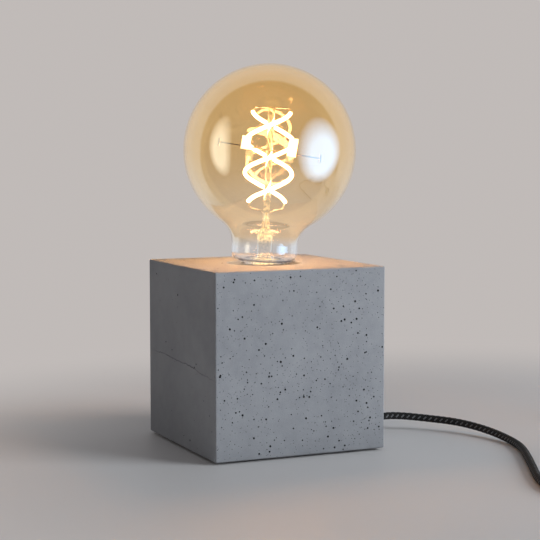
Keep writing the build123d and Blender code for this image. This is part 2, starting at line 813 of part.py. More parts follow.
# Stem: a flared tube fused shut in a flat pinch, with a glass rod up the middle
filament_z0 = globe_z - FILAMENT_DROP - FILAMENT_H / 2
filament_z1 = filament_z0 + FILAMENT_H
pinch_z1 = filament_z0 - LEAD_RISE
pinch_z0 = pinch_z1 - PINCH_H
rod_z1 = filament_z1 + ROD_PROUD
flare_r = TUBE_R - GLASS_T - CONTACT_GAP
flare_z1 = STEM_FLARE_H - TUBE_L


def beside_axis(radius, azimuth, height):
    """Point in the bulb from its distance to the axis, its compass angle and its height."""
    turn = radians(azimuth - plan_turn)
    return glass_plane.from_local_coords(Vector(radius * cos(turn), radius * sin(turn), height))


support_plane = turned_from(
    glass_plane,
    (0, 0, globe_z),
    (-sin(radians(SUPPORT_AZIMUTH - plan_turn)), cos(radians(SUPPORT_AZIMUTH - plan_turn)), 0),
    (
        cos(radians(SUPPORT_SLOPE)) * cos(radians(SUPPORT_AZIMUTH - plan_turn)),
        cos(radians(SUPPORT_SLOPE)) * sin(radians(SUPPORT_AZIMUTH - plan_turn)),
        -sin(radians(SUPPORT_SLOPE)),
    ),
)
flare = turned(
    glass_section,
    glass_axis,
    [
        (flare_r, -TUBE_L),
        (flare_r, -TUBE_L + STEM_T),
        (STEM_R + STEM_BELL, flare_z1 - STEM_BELL_H),
        (STEM_R, flare_z1),
        (STEM_R, pinch_z0 + STEM_T),
        (STEM_R - STEM_T, pinch_z0 + STEM_T),
        (STEM_R - STEM_T, flare_z1 - STEM_BELL_DROP),
        (STEM_R + STEM_BELL - STEM_T, flare_z1 - STEM_BELL_H - STEM_BELL_DROP),
        (flare_r - STEM_T, -TUBE_L),
    ],
)
with BuildPart() as bulb_stem:
    add(flare.part)
    with BuildSketch(glass_plane.offset(pinch_z0)):
        Ellipse(STEM_R, STEM_R)
    with BuildSketch(glass_plane.offset(pinch_z0 + PINCH_H / 2)):
        Ellipse(PINCH_T / 2, PINCH_W / 2)
    with BuildSketch(glass_plane.offset(pinch_z1)):
        Ellipse(PINCH_T / 2, PINCH_TOP_W / 2)
    loft()
    with BuildSketch(glass_plane.offset(pinch_z1 - STEM_T)):
        Circle(ROD_R)
    extrude(amount=rod_z1 - pinch_z1 + STEM_T)
    with BuildSketch(support_plane):
        Circle(WIRE_R + CONTACT_GAP)
    extrude(amount=2 * ROD_R, both=True, mode=Mode.SUBTRACT)


# Filament: two strands, half a turn apart, that climb in one helix of barrel shape
def strand_point(rise, half_turn):
    """Point on a strand's middle line at a share of its height, from 0 to 1."""
    bulge = 1 - (2 * rise - 1) ** 2
    radius = FILAMENT_END_R + (FILAMENT_MID_R - FILAMENT_END_R) * bulge
    azimuth = FILAMENT_START + 360 * FILAMENT_TURNS * rise + half_turn
    return beside_axis(radius, azimuth, filament_z0 + FILAMENT_H * rise)


def strand_route(half_turn):
    """A strand's middle line, in arcs of about a quarter turn."""
    steps = 6
    nudge = 0.001
    rises = [i / steps for i in range(steps + 1)]
    points = [strand_point(rise, half_turn) for rise in rises]
    tangents = [
        (strand_point(rise + nudge, half_turn) - strand_point(rise - nudge, half_turn)).normalized()
        for rise in rises
    ]
    return smooth_route(points, tangents)


filament_a = tubes([strand_route(0)], FILAMENT_R)
filament_b = tubes([strand_route(180)], FILAMENT_R)

# Wires: one support through the rod, two leads up from the pinch, one bridge over the rod
with BuildPart() as support_wire:
    with BuildSketch(support_plane):
        Circle(WIRE_R)
    extrude(amount=SUPPORT_REACH, both=True)
    for end in (-1, 1):
        tip_plane = turned_from(support_plane, (0, 0, end * SUPPORT_REACH), (0, 0, 1), (0, 1, 0))
        with BuildSketch(tip_plane):
            Circle(SUPPORT_TIP_R)
        extrude(amount=SUPPORT_TIP, both=True)


def lead_wire(azimuth):
    """Wire from the pinch out and up to the lower end of a strand."""
    points = [
        beside_axis(PINCH_W / 4, azimuth, pinch_z1 + CONTACT_GAP),
        beside_axis(PINCH_W / 4 + WIRE_KNEE, azimuth, pinch_z1 + WIRE_LIFT),
        beside_axis(FILAMENT_END_R - WIRE_KNEE, azimuth, pinch_z1 + WIRE_LIFT + WIRE_CLIMB),
        beside_axis(FILAMENT_END_R, azimuth, filament_z0 - FILAMENT_R - STRAND_GAP),
    ]
    return rounded_route(points, [WIRE_BEND_R, WIRE_BEND_R])


top_azimuth = FILAMENT_START + 360 * FILAMENT_TURNS
bridge_z = rod_z1 + WIRE_R + CONTACT_GAP
bridge_points = [
    beside_axis(FILAMENT_END_R, top_azimuth, filament_z1 + FILAMENT_R + STRAND_GAP),
    beside_axis(FILAMENT_END_R - WIRE_KNEE, top_azimuth, bridge_z),
    beside_axis(FILAMENT_END_R - WIRE_KNEE, top_azimuth + 180, bridge_z),
    beside_axis(FILAMENT_END_R, top_azimuth + 180, filament_z1 + FILAMENT_R + STRAND_GAP),
]
filament_leads = tubes(
    [
        lead_wire(FILAMENT_START),
        lead_wire(FILAMENT_START + 180),
        rounded_route(bridge_points, [WIRE_BEND_R, WIRE_BEND_R]),
    ],
    WIRE_R,
)

# Ceramic clips on the support wire, each with a channel for the strand that passes above it there
strand_channels = [tubes([strand_route(turn)], FILAMENT_R + STRAND_GAP).part for turn in (0, 180)]
turn_at_wire = 360 * FILAMENT_TURNS * (globe_z - filament_z0) / FILAMENT_H
turn_to_wire = SUPPORT_AZIMUTH - FILAMENT_START
half_turns = round((turn_at_wire - turn_to_wire) / 180)
rise_at_clip = (turn_to_wire + 180 * half_turns) / (360 * FILAMENT_TURNS)
strand_z = filament_z0 + FILAMENT_H * rise_at_clip
strand_r = (strand_point(rise_at_clip, 0) - beside_axis(0, 0, strand_z)).length
with BuildPart() as filament_clips:
    for end in (-1, 1):
        held = beside_axis(end * strand_r, SUPPORT_AZIMUTH, strand_z)
        strand_at = support_plane.to_local_coords(held)
        clip_top = strand_at.Y + CLIP_OVER_STRAND
        clip_foot = -CLIP_UNDER_WIRE
        clip_plane = turned_from(
            support_plane, (0, (clip_top + clip_foot) / 2, strand_at.Z), (1, 0, 0), (0, 0, 1)
        )
        with BuildSketch(clip_plane.offset(-CLIP_L / 2)):
            RectangleRounded(CLIP_W, clip_top - clip_foot, CLIP_CORNER_R)
        extrude(amount=CLIP_L)
    with BuildSketch(support_plane):
        Circle(WIRE_R + CONTACT_GAP)
    extrude(amount=SUPPORT_REACH, both=True, mode=Mode.SUBTRACT)
    for channel in strand_channels:
        add(channel, mode=Mode.SUBTRACT)

# Cord on the table, from the cube to the switch
cord_exit = Vector(0, sleeve_tip_y, EXIT_Z)
to_switch_points = [
    cord_exit,
    cord_exit + Vector(0, CORD_RUN_OUT, 0),
    *[Vector(*p) for p in SWITCH_ROUTE],
]
print("radii to the switch", [round(r, 1) for r in bend_radii(to_switch_points)])
cord_to_switch = tubes([rounded_route(to_switch_points, bend_radii(to_switch_points))], cord_r)

# Cord switch, lying on the table in line with the cord
switch_inlet = Vector(*SWITCH_ROUTE[-1])
switch_way = (switch_inlet - Vector(*SWITCH_ROUTE[-2])).normalized()
switch_span = SWITCH_L + 2 * SLEEVE_L
switch_outlet = switch_inlet + switch_way * switch_span
switch_plane = Plane(
    origin=(switch_inlet + switch_way * switch_span / 2) - Vector(0, 0, switch_inlet.Z),
    x_dir=switch_way,
    z_dir=(0, 0, 1),
)
switch_inside_l = SWITCH_L - 2 * SWITCH_WALL_T
switch_inside_w = SWITCH_W - 2 * SWITCH_WALL_T
sleeve_hole_r = SLEEVE_TIP_R + HOLE_FIT
cord_ends_plane = turned_from(switch_plane, (0, 0, SWITCH_SPLIT_Z), (0, 1, 0), (1, 0, 0))
boss_spots = [(-SWITCH_SCREW_X, -SWITCH_SCREW_Y), (SWITCH_SCREW_X, SWITCH_SCREW_Y)]
pivot_z = SWITCH_H - SWITCH_WALL_T - PIVOT_R
pivot_plane = turned_from(switch_plane, (0, 0, pivot_z), (1, 0, 0), (0, -1, 0))
post_y0 = ROCKER_W / 2 + ROCKER_SIDE_GAP

with BuildPart() as switch_base:
    with BuildSketch(switch_plane):
        RectangleRounded(SWITCH_L, SWITCH_W, SWITCH_CORNER_R)
    extrude(amount=SWITCH_SPLIT_Z)
    fillet(switch_base.faces().sort_by(Axis.Z)[0].edges(), SWITCH_EDGE_R)
    with BuildSketch(switch_plane.offset(SWITCH_WALL_T)):
        RectangleRounded(switch_inside_l, switch_inside_w, SWITCH_CORNER_R - SWITCH_WALL_T)
    extrude(amount=SWITCH_SPLIT_Z, mode=Mode.SUBTRACT)
    with BuildSketch(switch_plane.offset(SWITCH_WALL_T / 2)):
        with Locations(*boss_spots):
            Circle(BOSS_R)
    extrude(amount=SWITCH_SPLIT_Z - SWITCH_WALL_T / 2)
    with BuildSketch(switch_plane):
        with Locations(*boss_spots):
            Circle(SWITCH_SCREW_D / 2 + SCREW_FIT)
    extrude(amount=SWITCH_SPLIT_Z, mode=Mode.SUBTRACT)
    with BuildSketch(switch_plane):
        with Locations(*boss_spots):
            Circle(BOSS_R - SCREW_FIT)
    extrude(amount=SWITCH_WALL_T / 2 + SCREW_HEAD_H, mode=Mode.SUBTRACT)
    with BuildSketch(cord_ends_plane):
        Circle(sleeve_hole_r)
    extrude(amount=SWITCH_L / 2, both=True, mode=Mode.SUBTRACT)

with BuildPart() as switch_cover:
    with BuildSketch(switch_plane.offset(SWITCH_SPLIT_Z)):
        RectangleRounded(SWITCH_L, SWITCH_W, SWITCH_CORNER_R)
    extrude(amount=SWITCH_H - SWITCH_SPLIT_Z)
    fillet(switch_cover.faces().sort_by(Axis.Z)[-1].edges(), SWITCH_EDGE_R)
    with BuildSketch(switch_plane.offset(SWITCH_SPLIT_Z)):
        RectangleRounded(switch_inside_l, switch_inside_w, SWITCH_CORNER_R - SWITCH_WALL_T)
    extrude(amount=SWITCH_H - SWITCH_SPLIT_Z - SWITCH_WALL_T, mode=Mode.SUBTRACT)
    with BuildSketch(switch_plane.offset(SWITCH_SPLIT_Z)):
        with Locations(*boss_spots):
            Circle(BOSS_R)
    extrude(amount=SWITCH_H - SWITCH_SPLIT_Z - SWITCH_WALL_T / 2)
    with BuildSketch(switch_plane.offset(pivot_z - PIVOT_R - SWITCH_WALL_T)):
        with Locations((0, post_y0 + PIVOT_L), (0, -post_y0 - PIVOT_L)):
            Rectangle(PIVOT_POST_L, 2 * PIVOT_L)
    extrude(amount=SWITCH_H - SWITCH_WALL_T / 2 - (pivot_z - PIVOT_R - SWITCH_WALL_T))
    with BuildSketch(switch_plane.offset(SWITCH_SPLIT_Z)):
        Rectangle(ROCKER_L + 2 * ROCKER_END_GAP, ROCKER_W + 2 * ROCKER_SIDE_GAP)
    extrude(amount=SWITCH_H, mode=Mode.SUBTRACT)
    with BuildSketch(switch_plane.offset(SWITCH_SPLIT_Z)):
        with Locations(*boss_spots):
            Circle(SWITCH_SCREW_D / 2 + SCREW_FIT)
    extrude(amount=SWITCH_H - SWITCH_SPLIT_Z - SWITCH_WALL_T, mode=Mode.SUBTRACT)
    with BuildSketch(pivot_plane):
        Circle(PIVOT_R + PIVOT_FIT)
    extrude(amount=post_y0 + PIVOT_L + PIVOT_FIT, both=True, mode=Mode.SUBTRACT)
    with BuildSketch(cord_ends_plane):
        Circle(sleeve_hole_r)
    extrude(amount=SWITCH_L / 2, both=True, mode=Mode.SUBTRACT)

# Rocker, pressed at the lamp's end, with its trunnions and the contact blade under it
tilt = radians(ROCKER_TILT)
rocker_plane = turned_from(pivot_plane, (0, 0, 0), (cos(tilt), sin(tilt), 0), (0, 0, 1))
rocker_top = SWITCH_H + ROCKER_PROUD - pivot_z
rocker_foot = rocker_top - ROCKER_H
with BuildPart() as switch_rocker:
    with BuildSketch(rocker_plane):
        with BuildLine():
            Polyline(
                (-ROCKER_L / 2, rocker_top),
                (0, rocker_top - ROCKER_PROUD / 2),
                (ROCKER_L / 2, rocker_top),
                (ROCKER_L / 2, rocker_foot + ROCKER_H / 2),
                (PIVOT_R * 2, rocker_foot),
                (-PIVOT_R * 2, rocker_foot),
                (-ROCKER_L / 2, rocker_foot + ROCKER_H / 2),
                close=True,
            )
        make_face()
    extrude(amount=ROCKER_W / 2, both=True)
    with BuildSketch(rocker_plane):
        Circle(PIVOT_R)
    extrude(amount=post_y0 + PIVOT_L, both=True)

with BuildPart() as rocker_blade:
    with BuildSketch(rocker_plane):
        with Locations((0, rocker_foot - BLADE_L / 2)):
            Rectangle(BLADE_T, BLADE_L)
    extrude(amount=BLADE_W / 2, both=True)

# Fixed contacts, wires, screws and sleeves of the switch
blade_reach = (BLADE_L - rocker_foot) * sin(tilt) + BLADE_T / 2
contact_x = blade_reach + BLADE_GAP + CONTACT_L / 2
with BuildPart() as switch_contacts:
    with BuildSketch(switch_plane.offset(SWITCH_WALL_T)):
        with Locations((-contact_x, 0), (contact_x, 0)):
            Rectangle(CONTACT_L, CONTACT_W)
    extrude(amount=CONTACT_H)
    with BuildSketch(switch_plane.offset(SWITCH_WALL_T)):
        with Locations((contact_x - CONTACT_L / 2 + BLADE_T / 2, 0)):
            Rectangle(BLADE_T, CONTACT_W)
    extrude(amount=CONTACT_POST_H)

cord_stub_x = SWITCH_L / 2 - SWITCH_WALL_T - BUSH_FLANGE_T
stub_planes = [
    turned_from(switch_plane, (end * cord_stub_x, 0, SWITCH_SPLIT_Z), (0, 1, 0), (end, 0, 0))
    for end in (-1, 1)
]
with BuildPart() as cord_in_switch:
    for stub in stub_planes:
        with BuildSketch(stub):
            Circle(cord_r)
        extrude(amount=SWITCH_WALL_T + BUSH_FLANGE_T + SLEEVE_L)

with BuildPart() as switch_sleeves:
    for stub in stub_planes:
        with BuildSketch(stub):
            Circle(BUSH_FLANGE_R)
        extrude(amount=BUSH_FLANGE_T)
        with BuildSketch(stub):
            Circle(SLEEVE_TIP_R)
        extrude(amount=BUSH_FLANGE_T + SWITCH_WALL_T)
        with BuildSketch(stub.offset(BUSH_FLANGE_T + SWITCH_WALL_T)):
            Circle(SLEEVE_ROOT_R)
        with BuildSketch(stub.offset(BUSH_FLANGE_T + SWITCH_WALL_T + SLEEVE_L)):
            Circle(SLEEVE_TIP_R)
        loft()
        with BuildSketch(stub):
            Circle(cord_bore_r)
        extrude(amount=BUSH_FLANGE_T + SWITCH_WALL_T + SLEEVE_L, mode=Mode.SUBTRACT)

switch_screw_seats = [
    turned_from(switch_plane, (x, y, SWITCH_WALL_T / 2 + SCREW_HEAD_H), (1, 0, 0), (0, 0, 1))
    for x, y in boss_spots
]
switch_screw_l = SWITCH_H - 2 * SWITCH_WALL_T - SCREW_HEAD_H
switch_screws = pan_screws(
    switch_screw_seats, SWITCH_SCREW_D, switch_screw_l, 2 * BOSS_R - 4 * SCREW_FIT, SCREW_HEAD_H
)


# Tied coil: it spirals in and out in layers and climbs a layer in the half turn where it turns back
coil_turns = COIL_LAYERS * COIL_TURNS_PER_LAYER
coil_half_width = COIL_STEP * COIL_TURNS_PER_LAYER / 2
coil_z0 = TIE_T + TIE_GAP + cord_r


def coil_point(turns):
    """Point on the coil's middle line after so many turns, counted from its outer foot."""
    fold = min(max(round(turns / COIL_TURNS_PER_LAYER), 0), COIL_LAYERS)
    past = turns - fold * COIL_TURNS_PER_LAYER
    depth = abs(past)
    climbs = fold if past >= 0 else fold - 1
    layer = max(climbs, 0)
    if 0 < fold < COIL_LAYERS and depth < COIL_FOLD:
        depth = (COIL_FOLD + depth**2 / COIL_FOLD) / 2
        share = (past / COIL_FOLD + 1) / 2
        layer = fold - 1 + share**2 * (3 - 2 * share)
    layer = min(layer, COIL_LAYERS - 1)
    inward = -1 if fold % 2 == 0 else 1
    radius = COIL_MEAN_R - inward * coil_half_width + inward * COIL_STEP * depth
    turn = pi / 2 + 2 * pi * turns
    return Vector(
        COIL_AT[0] + radius * cos(turn),
        COIL_AT[1] + radius * sin(turn),
        coil_z0 + COIL_LAYER_STEP * layer,
    )


def coil_way(turns):
    """Direction of the coil's middle line after so many turns."""
    nudge = 0.0005
    return (coil_point(turns + nudge) - coil_point(turns - nudge)).normalized()


quarters = [i / 4 for i in range(round(coil_turns * 4) + 1)]
coil_route = smooth_route(
    [coil_point(t) for t in quarters], [coil_way(t) for t in quarters], CORD_D, CORD_D
)
cord_coil = tubes([coil_route], cord_r)

samples_per_turn = 24
coil_samples = [
    coil_point(i / samples_per_turn) for i in range(round(coil_turns * samples_per_turn) + 1)
]
coil_gap = min(
    (there - here).length
    for i, here in enumerate(coil_samples)
    for there in coil_samples[i + samples_per_turn // 2 :]
)
print("least gap in the coil", round(coil_gap - CORD_D, 2))

# Strap round the coil
tie_turn = radians(TIE_AT)
tie_plane = Plane(
    origin=(
        COIL_AT[0] + COIL_MEAN_R * cos(tie_turn),
        COIL_AT[1] + COIL_MEAN_R * sin(tie_turn),
        coil_z0 + COIL_LAYER_STEP * (COIL_LAYERS - 1) / 2,
    ),
    x_dir=(cos(tie_turn), sin(tie_turn), 0),
    z_dir=(sin(tie_turn), -cos(tie_turn), 0),
)
tie_inside_l = 2 * coil_half_width + CORD_D + 2 * TIE_GAP
tie_inside_h = COIL_LAYER_STEP * (COIL_LAYERS - 1) + CORD_D + 2 * TIE_GAP
with BuildPart() as coil_tie:
    with BuildSketch(tie_plane):
        RectangleRounded(tie_inside_l + 2 * TIE_T, tie_inside_h + 2 * TIE_T, TIE_T + TIE_GAP)
        RectangleRounded(tie_inside_l, tie_inside_h, TIE_GAP, mode=Mode.SUBTRACT)
    extrude(amount=TIE_W / 2, both=True)

# Cord from the switch to the coil
coil_start = coil_point(0) - coil_way(0) * CORD_D
coil_run_in = coil_start - coil_way(0) * COIL_RUN_IN
to_coil_points = [
    switch_outlet,
    switch_outlet + switch_way * COIL_RUN_IN,
    *[Vector(*p) for p in COIL_ROUTE],
    coil_run_in,
    coil_start,
]
print("radii to the coil", [round(r, 1) for r in bend_radii(to_coil_points)])
cord_to_coil = tubes([rounded_route(to_coil_points, bend_radii(to_coil_points))], cord_r)

# Cord from the coil to the plug
coil_end = coil_point(coil_turns) + coil_way(coil_turns) * CORD_D
plug_way = Vector(*PLUG_HEADING)
plug_inlet = Vector(*PLUG_INLET)
to_plug_points = [
    coil_end,
    coil_end + coil_way(coil_turns) * COIL_RUN_IN,
    *[Vector(*p) for p in PLUG_ROUTE],
    plug_inlet - plug_way * COIL_RUN_IN,
    plug_inlet,
]
print("radii to the plug", [round(r, 1) for r in bend_radii(to_plug_points)])
cord_to_plug = tubes([rounded_route(to_plug_points, bend_radii(to_plug_points))], cord_r)

# Flat two-pin plug, lying on its broad side
plug_plane = Plane(
    origin=plug_inlet + plug_way * SLEEVE_L - Vector(0, 0, plug_inlet.Z - PLUG_H / 2),
    x_dir=plug_way,
    z_dir=(0, 0, 1),
)
plug_rear = turned_from(plug_plane, (0, 0, 0), (0, 1, 0), (1, 0, 0))
plug_face = turned_from(plug_plane, (PLUG_L, 0, 0), (0, 1, 0), (1, 0, 0))
pin_spots = [(-PIN_SPAN / 2, 0), (PIN_SPAN / 2, 0)]
pin_sleeve_r = PIN_D / 2 - PIN_SLEEVE_STEP
pin_core_r = pin_sleeve_r - PIN_SLEEVE_T

with BuildPart() as plug_body:
    with BuildSketch(plug_plane.offset(-PLUG_H / 2)):
        with BuildLine():
            Polyline(
                (0, -PLUG_REAR_W / 2),
                (PLUG_L - PLUG_NOSE_L, -PLUG_W / 2),
                (PLUG_L, -PLUG_W / 2 + PLUG_FACE_TAPER),
                (PLUG_L, PLUG_W / 2 - PLUG_FACE_TAPER),
                (PLUG_L - PLUG_NOSE_L, PLUG_W / 2),
                (0, PLUG_REAR_W / 2),
                close=True,
            )
        make_face()
    extrude(amount=PLUG_H)
    fillet(plug_body.edges().filter_by(Axis.Z), PLUG_EDGE_R)
    fillet(plug_body.faces().filter_by(Axis.Z).edges(), PLUG_RIM_R)
    with BuildSketch(plug_face):
        with Locations(*pin_spots):
            Circle(pin_core_r + SCREW_FIT)
    extrude(amount=-PIN_ROOT_L, mode=Mode.SUBTRACT)
    with BuildSketch(plug_rear):
        Circle(cord_bore_r)
    extrude(amount=PIN_ROOT_L, mode=Mode.SUBTRACT)

with BuildPart() as plug_pins:
    with BuildSketch(plug_face.offset(-PIN_ROOT_L)):
        with Locations(*pin_spots):
            Circle(pin_core_r)
    extrude(amount=PIN_ROOT_L + PIN_SLEEVE_L)
    with BuildSketch(plug_face.offset(PIN_SLEEVE_L)):
        with Locations(*pin_spots):
            Circle(PIN_D / 2)
    extrude(amount=PIN_L - PIN_SLEEVE_L)
    fillet(plug_pins.faces().sort_by(Axis(plug_face.origin, plug_way))[-2:].edges(), PIN_TIP_R)

with BuildPart() as pin_sleeves:
    with BuildSketch(plug_face):
        with Locations(*pin_spots):
            Circle(pin_sleeve_r)
            Circle(pin_core_r + CONTACT_GAP / 2, mode=Mode.SUBTRACT)
    extrude(amount=PIN_SLEEVE_L)

with BuildPart() as plug_sleeve:
    with BuildSketch(plug_rear):
        Circle(SLEEVE_ROOT_R)
    with BuildSketch(plug_rear.offset(-SLEEVE_L)):
        Circle(SLEEVE_TIP_R)
    loft()
    with BuildSketch(plug_rear):
        Circle(cord_bore_r)
    extrude(amount=-SLEEVE_L, mode=Mode.SUBTRACT)

with BuildPart() as cord_in_plug:
    with BuildSketch(plug_rear.offset(PIN_ROOT_L)):
        Circle(cord_r)
    extrude(amount=-PIN_ROOT_L - SLEEVE_L)

cord_lengths = [
    stretch.part.volume / (pi * cord_r**2)
    for stretch in (cord_to_switch, cord_to_coil, cord_coil, cord_to_plug)
]
print("cord lengths from volume", [round(length, 1) for length in cord_lengths])
print("cord in all", round(sum(cord_lengths) + switch_span + SLEEVE_L, 1))

pieces = {
    "concrete_block": concrete_block,
    "base_inserts": base_inserts,
    "base_plate": base_plate,
    "base_screws": base_screws,
    "feet": feet,
    "bar_inserts": bar_inserts,
    "holder_bar": holder_bar,
    "bar_screws": bar_screws,
    "nipple": nipple,
    "lock_washer": lock_washer,
    "nipple_nut": nipple_nut,
    "holder_dome": holder_dome,
    "holder_sleeve": holder_sleeve,
    "holder_core": holder_core,
    "screw_shell": screw_shell,
    "side_contact": side_contact,
    "centre_contact": centre_contact,
    "terminal_screws": terminal_screws,
    "cord_grip": cord_grip,
    "grip_screw": grip_screw,
    "cord_bush": cord_bush,
    "cord_inner": cord_inner,
    "lead_brown": lead_brown,
    "lead_blue": lead_blue,
    "bulb_cap": bulb_cap,
    "cap_insulator": cap_insulator,
    "bulb_contact": bulb_contact,
    "driver_board": driver_board,
    "driver_parts": driver_parts,
    "bulb_glass": bulb_glass,
    "bulb_stem": bulb_stem,
    "filament_a": filament_a,
    "filament_b": filament_b,
    "filament_clips": filament_clips,
    "support_wire": support_wire,
    "filament_leads": filament_leads,
    "cord_to_switch": cord_to_switch,
    "switch_base": switch_base,
    "switch_cover": switch_cover,
    "switch_rocker": switch_rocker,
    "rocker_blade": rocker_blade,
    "switch_contacts": switch_contacts,
    "cord_in_switch": cord_in_switch,
    "switch_sleeves": switch_sleeves,
    "switch_screws": switch_screws,
    "cord_to_coil": cord_to_coil,
    "cord_coil": cord_coil,
    "coil_tie": coil_tie,
    "cord_to_plug": cord_to_plug,
    "plug_sleeve": plug_sleeve,
    "plug_body": plug_body,
    "cord_in_plug": cord_in_plug,
    "plug_pins": plug_pins,
    "pin_sleeves": pin_sleeves,
}
for name, piece in pieces.items():
    piece.part.label = name
    export_step(piece.part, f"parts/{name}.step")
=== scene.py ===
import math

import bmesh
import bpy
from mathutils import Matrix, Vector


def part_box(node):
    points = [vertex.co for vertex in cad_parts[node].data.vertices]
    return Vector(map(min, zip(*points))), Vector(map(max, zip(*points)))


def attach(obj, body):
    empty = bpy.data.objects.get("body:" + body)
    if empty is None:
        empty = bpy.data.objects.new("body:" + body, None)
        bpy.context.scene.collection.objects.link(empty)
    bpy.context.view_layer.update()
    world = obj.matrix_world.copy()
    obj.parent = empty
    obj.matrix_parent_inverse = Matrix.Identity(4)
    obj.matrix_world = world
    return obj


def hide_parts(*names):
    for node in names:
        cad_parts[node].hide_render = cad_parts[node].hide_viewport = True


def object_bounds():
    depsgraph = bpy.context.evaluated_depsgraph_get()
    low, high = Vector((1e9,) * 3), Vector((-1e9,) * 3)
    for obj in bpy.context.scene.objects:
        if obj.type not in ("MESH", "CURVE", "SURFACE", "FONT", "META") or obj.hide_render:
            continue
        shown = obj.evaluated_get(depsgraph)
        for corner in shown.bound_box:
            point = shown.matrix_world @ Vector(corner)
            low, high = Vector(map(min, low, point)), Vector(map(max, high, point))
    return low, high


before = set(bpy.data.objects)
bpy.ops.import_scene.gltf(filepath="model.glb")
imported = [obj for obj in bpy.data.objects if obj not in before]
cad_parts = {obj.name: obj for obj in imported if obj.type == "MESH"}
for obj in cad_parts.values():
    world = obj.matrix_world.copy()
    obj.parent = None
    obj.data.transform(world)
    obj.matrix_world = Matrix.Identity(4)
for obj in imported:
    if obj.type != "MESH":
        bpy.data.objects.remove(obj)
cad_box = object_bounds()

# Concrete cube
# One block of self-compacting concrete, cast in a smooth mould and left bare; painted shade darkens
# it towards its foot.
# Trapped air left round pores, most of them on the +X side, cut here as real pits and painted near
# black inside as shade; smaller pinholes are painted as dark dots of shade. A faint pour line
# crosses the -Y side.
CONCRETE_DARK = (0.29, 0.299, 0.318, 1)
CONCRETE_MID = (0.337, 0.345, 0.363, 1)
CONCRETE_PALE = (0.384, 0.392, 0.408, 1)
CONCRETE_TONES = ((0.34, CONCRETE_DARK), (0.5, CONCRETE_MID), (0.68, CONCRETE_PALE))
CONCRETE_ROUGHNESS = (0.3, 0.7, 0.72, 0.9)
CONCRETE_SHINE = 0.35
CLOUD_NOISE = (22.0, 5.0, 0.55)
CLOUD_SHARE = 0.6
PATCH_NOISE = (140.0, 4.0, 0.6)
PATCH_DEPTH = 0.00025
SAND_NOISE = (2600.0, 3.0, 0.7)
SAND_TONES = ((0.25, (0.86, 0.86, 0.86, 1)), (0.75, (1.1, 1.1, 1.1, 1)))
SAND_DEPTH = 0.00006
HOLLOW_DEPTH = 0.0002
FOOT_SHADE_RISE = 0.042
FOOT_SHADE_TONE = 0.83
RELIEF_STRENGTH = 0.8
PINHOLE_SCALE = 420.0
PINHOLE_NOISE = (900.0, 2.0)
PINHOLE_SIZES = (0.42, 0.75, 0.03, 0.16)
PINHOLES_BROAD = 0.75
PINHOLES_REST = 0.35
PORE_SHADE = (0.013, 0.013, 0.015, 1)
CRACK_DARK = (0.06, 0.06, 0.065, 1)
PORE_SMALLEST_R = 0.00018
PORE_LARGEST_R = 0.00064
PORE_SKEW = 6.5
PORES_PER_M2_BROAD = 82000.0
PORES_PER_M2_REST = 6000.0
PORE_SEED = 7
PORE_CLUSTERS = 75.0
PORE_GATHERING = (0.36, 0.64, 0.25, 1.75)
PORE_TURNS = (6.28, 6.28, 6.28)
PORE_SUBDIVISIONS = 2
PIT_SHADE_STRENGTH = 0.98
POUR_LINE_UP = 0.0483
POUR_LINE_FALL = 0.0054
POUR_LINE_CURVE = 2.0
POUR_LINE_W = 0.0005
POUR_LINE_NOISE = 90.0
POUR_LINE_WANDER = 0.004
POUR_LINE_UNEVEN = (0.4, 0.6, 0.45, 1.0)
POUR_LINE_ENDS = (0.3, 0.48, 1.0, 0.1)
POUR_LINE_STRENGTH = 0.85
MOULD_CELL = 0.004
SKIN = 0.0004
NEARLY_AT = 0.999
SQUARE_ON = 0.99
FLAT_ENOUGH = 0.9995
WELD = 1e-6
CUT_WELD = 1e-7


def place(tree, kind, sockets=None, **settings):
    """Adds a node, sets its properties, and sets or links its inputs."""
    node = tree.nodes.new(kind)
    for name, value in settings.items():
        setattr(node, name, value)
    for key, value in (sockets or {}).items():
        if isinstance(value, bpy.types.NodeSocket):
            tree.links.new(value, node.inputs[key])
        else:
            node.inputs[key].default_value = value
    return node


def maths(tree, operation, *values):
    """Result of one arithmetic node."""
    sockets = dict(enumerate(values))
    return place(tree, "ShaderNodeMath", sockets, operation=operation).outputs[0]


def new_finish(name):
    """A material with one principled shader: the material, its tree and the shader."""
    material = bpy.data.materials.new(name)
    material.use_nodes = True
    tree = material.node_tree
    return material, tree, tree.nodes["Principled BSDF"]


def object_place(tree):
    """The point on the surface, in the object's own coordinates."""
    return place(tree, "ShaderNodeTexCoord").outputs["Object"]


def noise(tree, at, scale, detail=4.0, roughness=0.6):
    """Value of a noise pattern, from 0 to 1."""
    sockets = {"Vector": at, "Scale": scale, "Detail": detail, "Roughness": roughness}
    return place(tree, "ShaderNodeTexNoise", sockets).outputs["Fac"]


def ramp(tree, factor, *stops):
    """Colour from a ramp of (place, colour) stops."""
    node = place(tree, "ShaderNodeValToRGB", {"Fac": factor})
    stretch = node.color_ramp.elements
    while len(stretch) < len(stops):
        stretch.new(0.5)
    for stop, (position, colour) in zip(stretch, stops):
        stop.position = position
        stop.color = colour
    return node.outputs["Color"]


def mixed(tree, factor, first, second, how="MIX"):
    """Two colours mixed by a factor."""
    sockets = {0: factor, 6: first, 7: second}
    node = place(tree, "ShaderNodeMix", sockets, data_type="RGBA", blend_type=how)
    return node.outputs[2]


def spread(tree, value, low, high, to_low, to_high):
    """A value carried from one range to another, and held at its ends."""
    sockets = {0: value, 1: low, 2: high, 3: to_low, 4: to_high}
    return place(tree, "ShaderNodeMapRange", sockets).outputs[0]


def blended(tree, first, second, share):
    """Two values added, the first by its share and the second by the rest."""
    rest = maths(tree, "MULTIPLY", second, 1 - share)
    return maths(tree, "ADD", maths(tree, "MULTIPLY", first, share), rest)


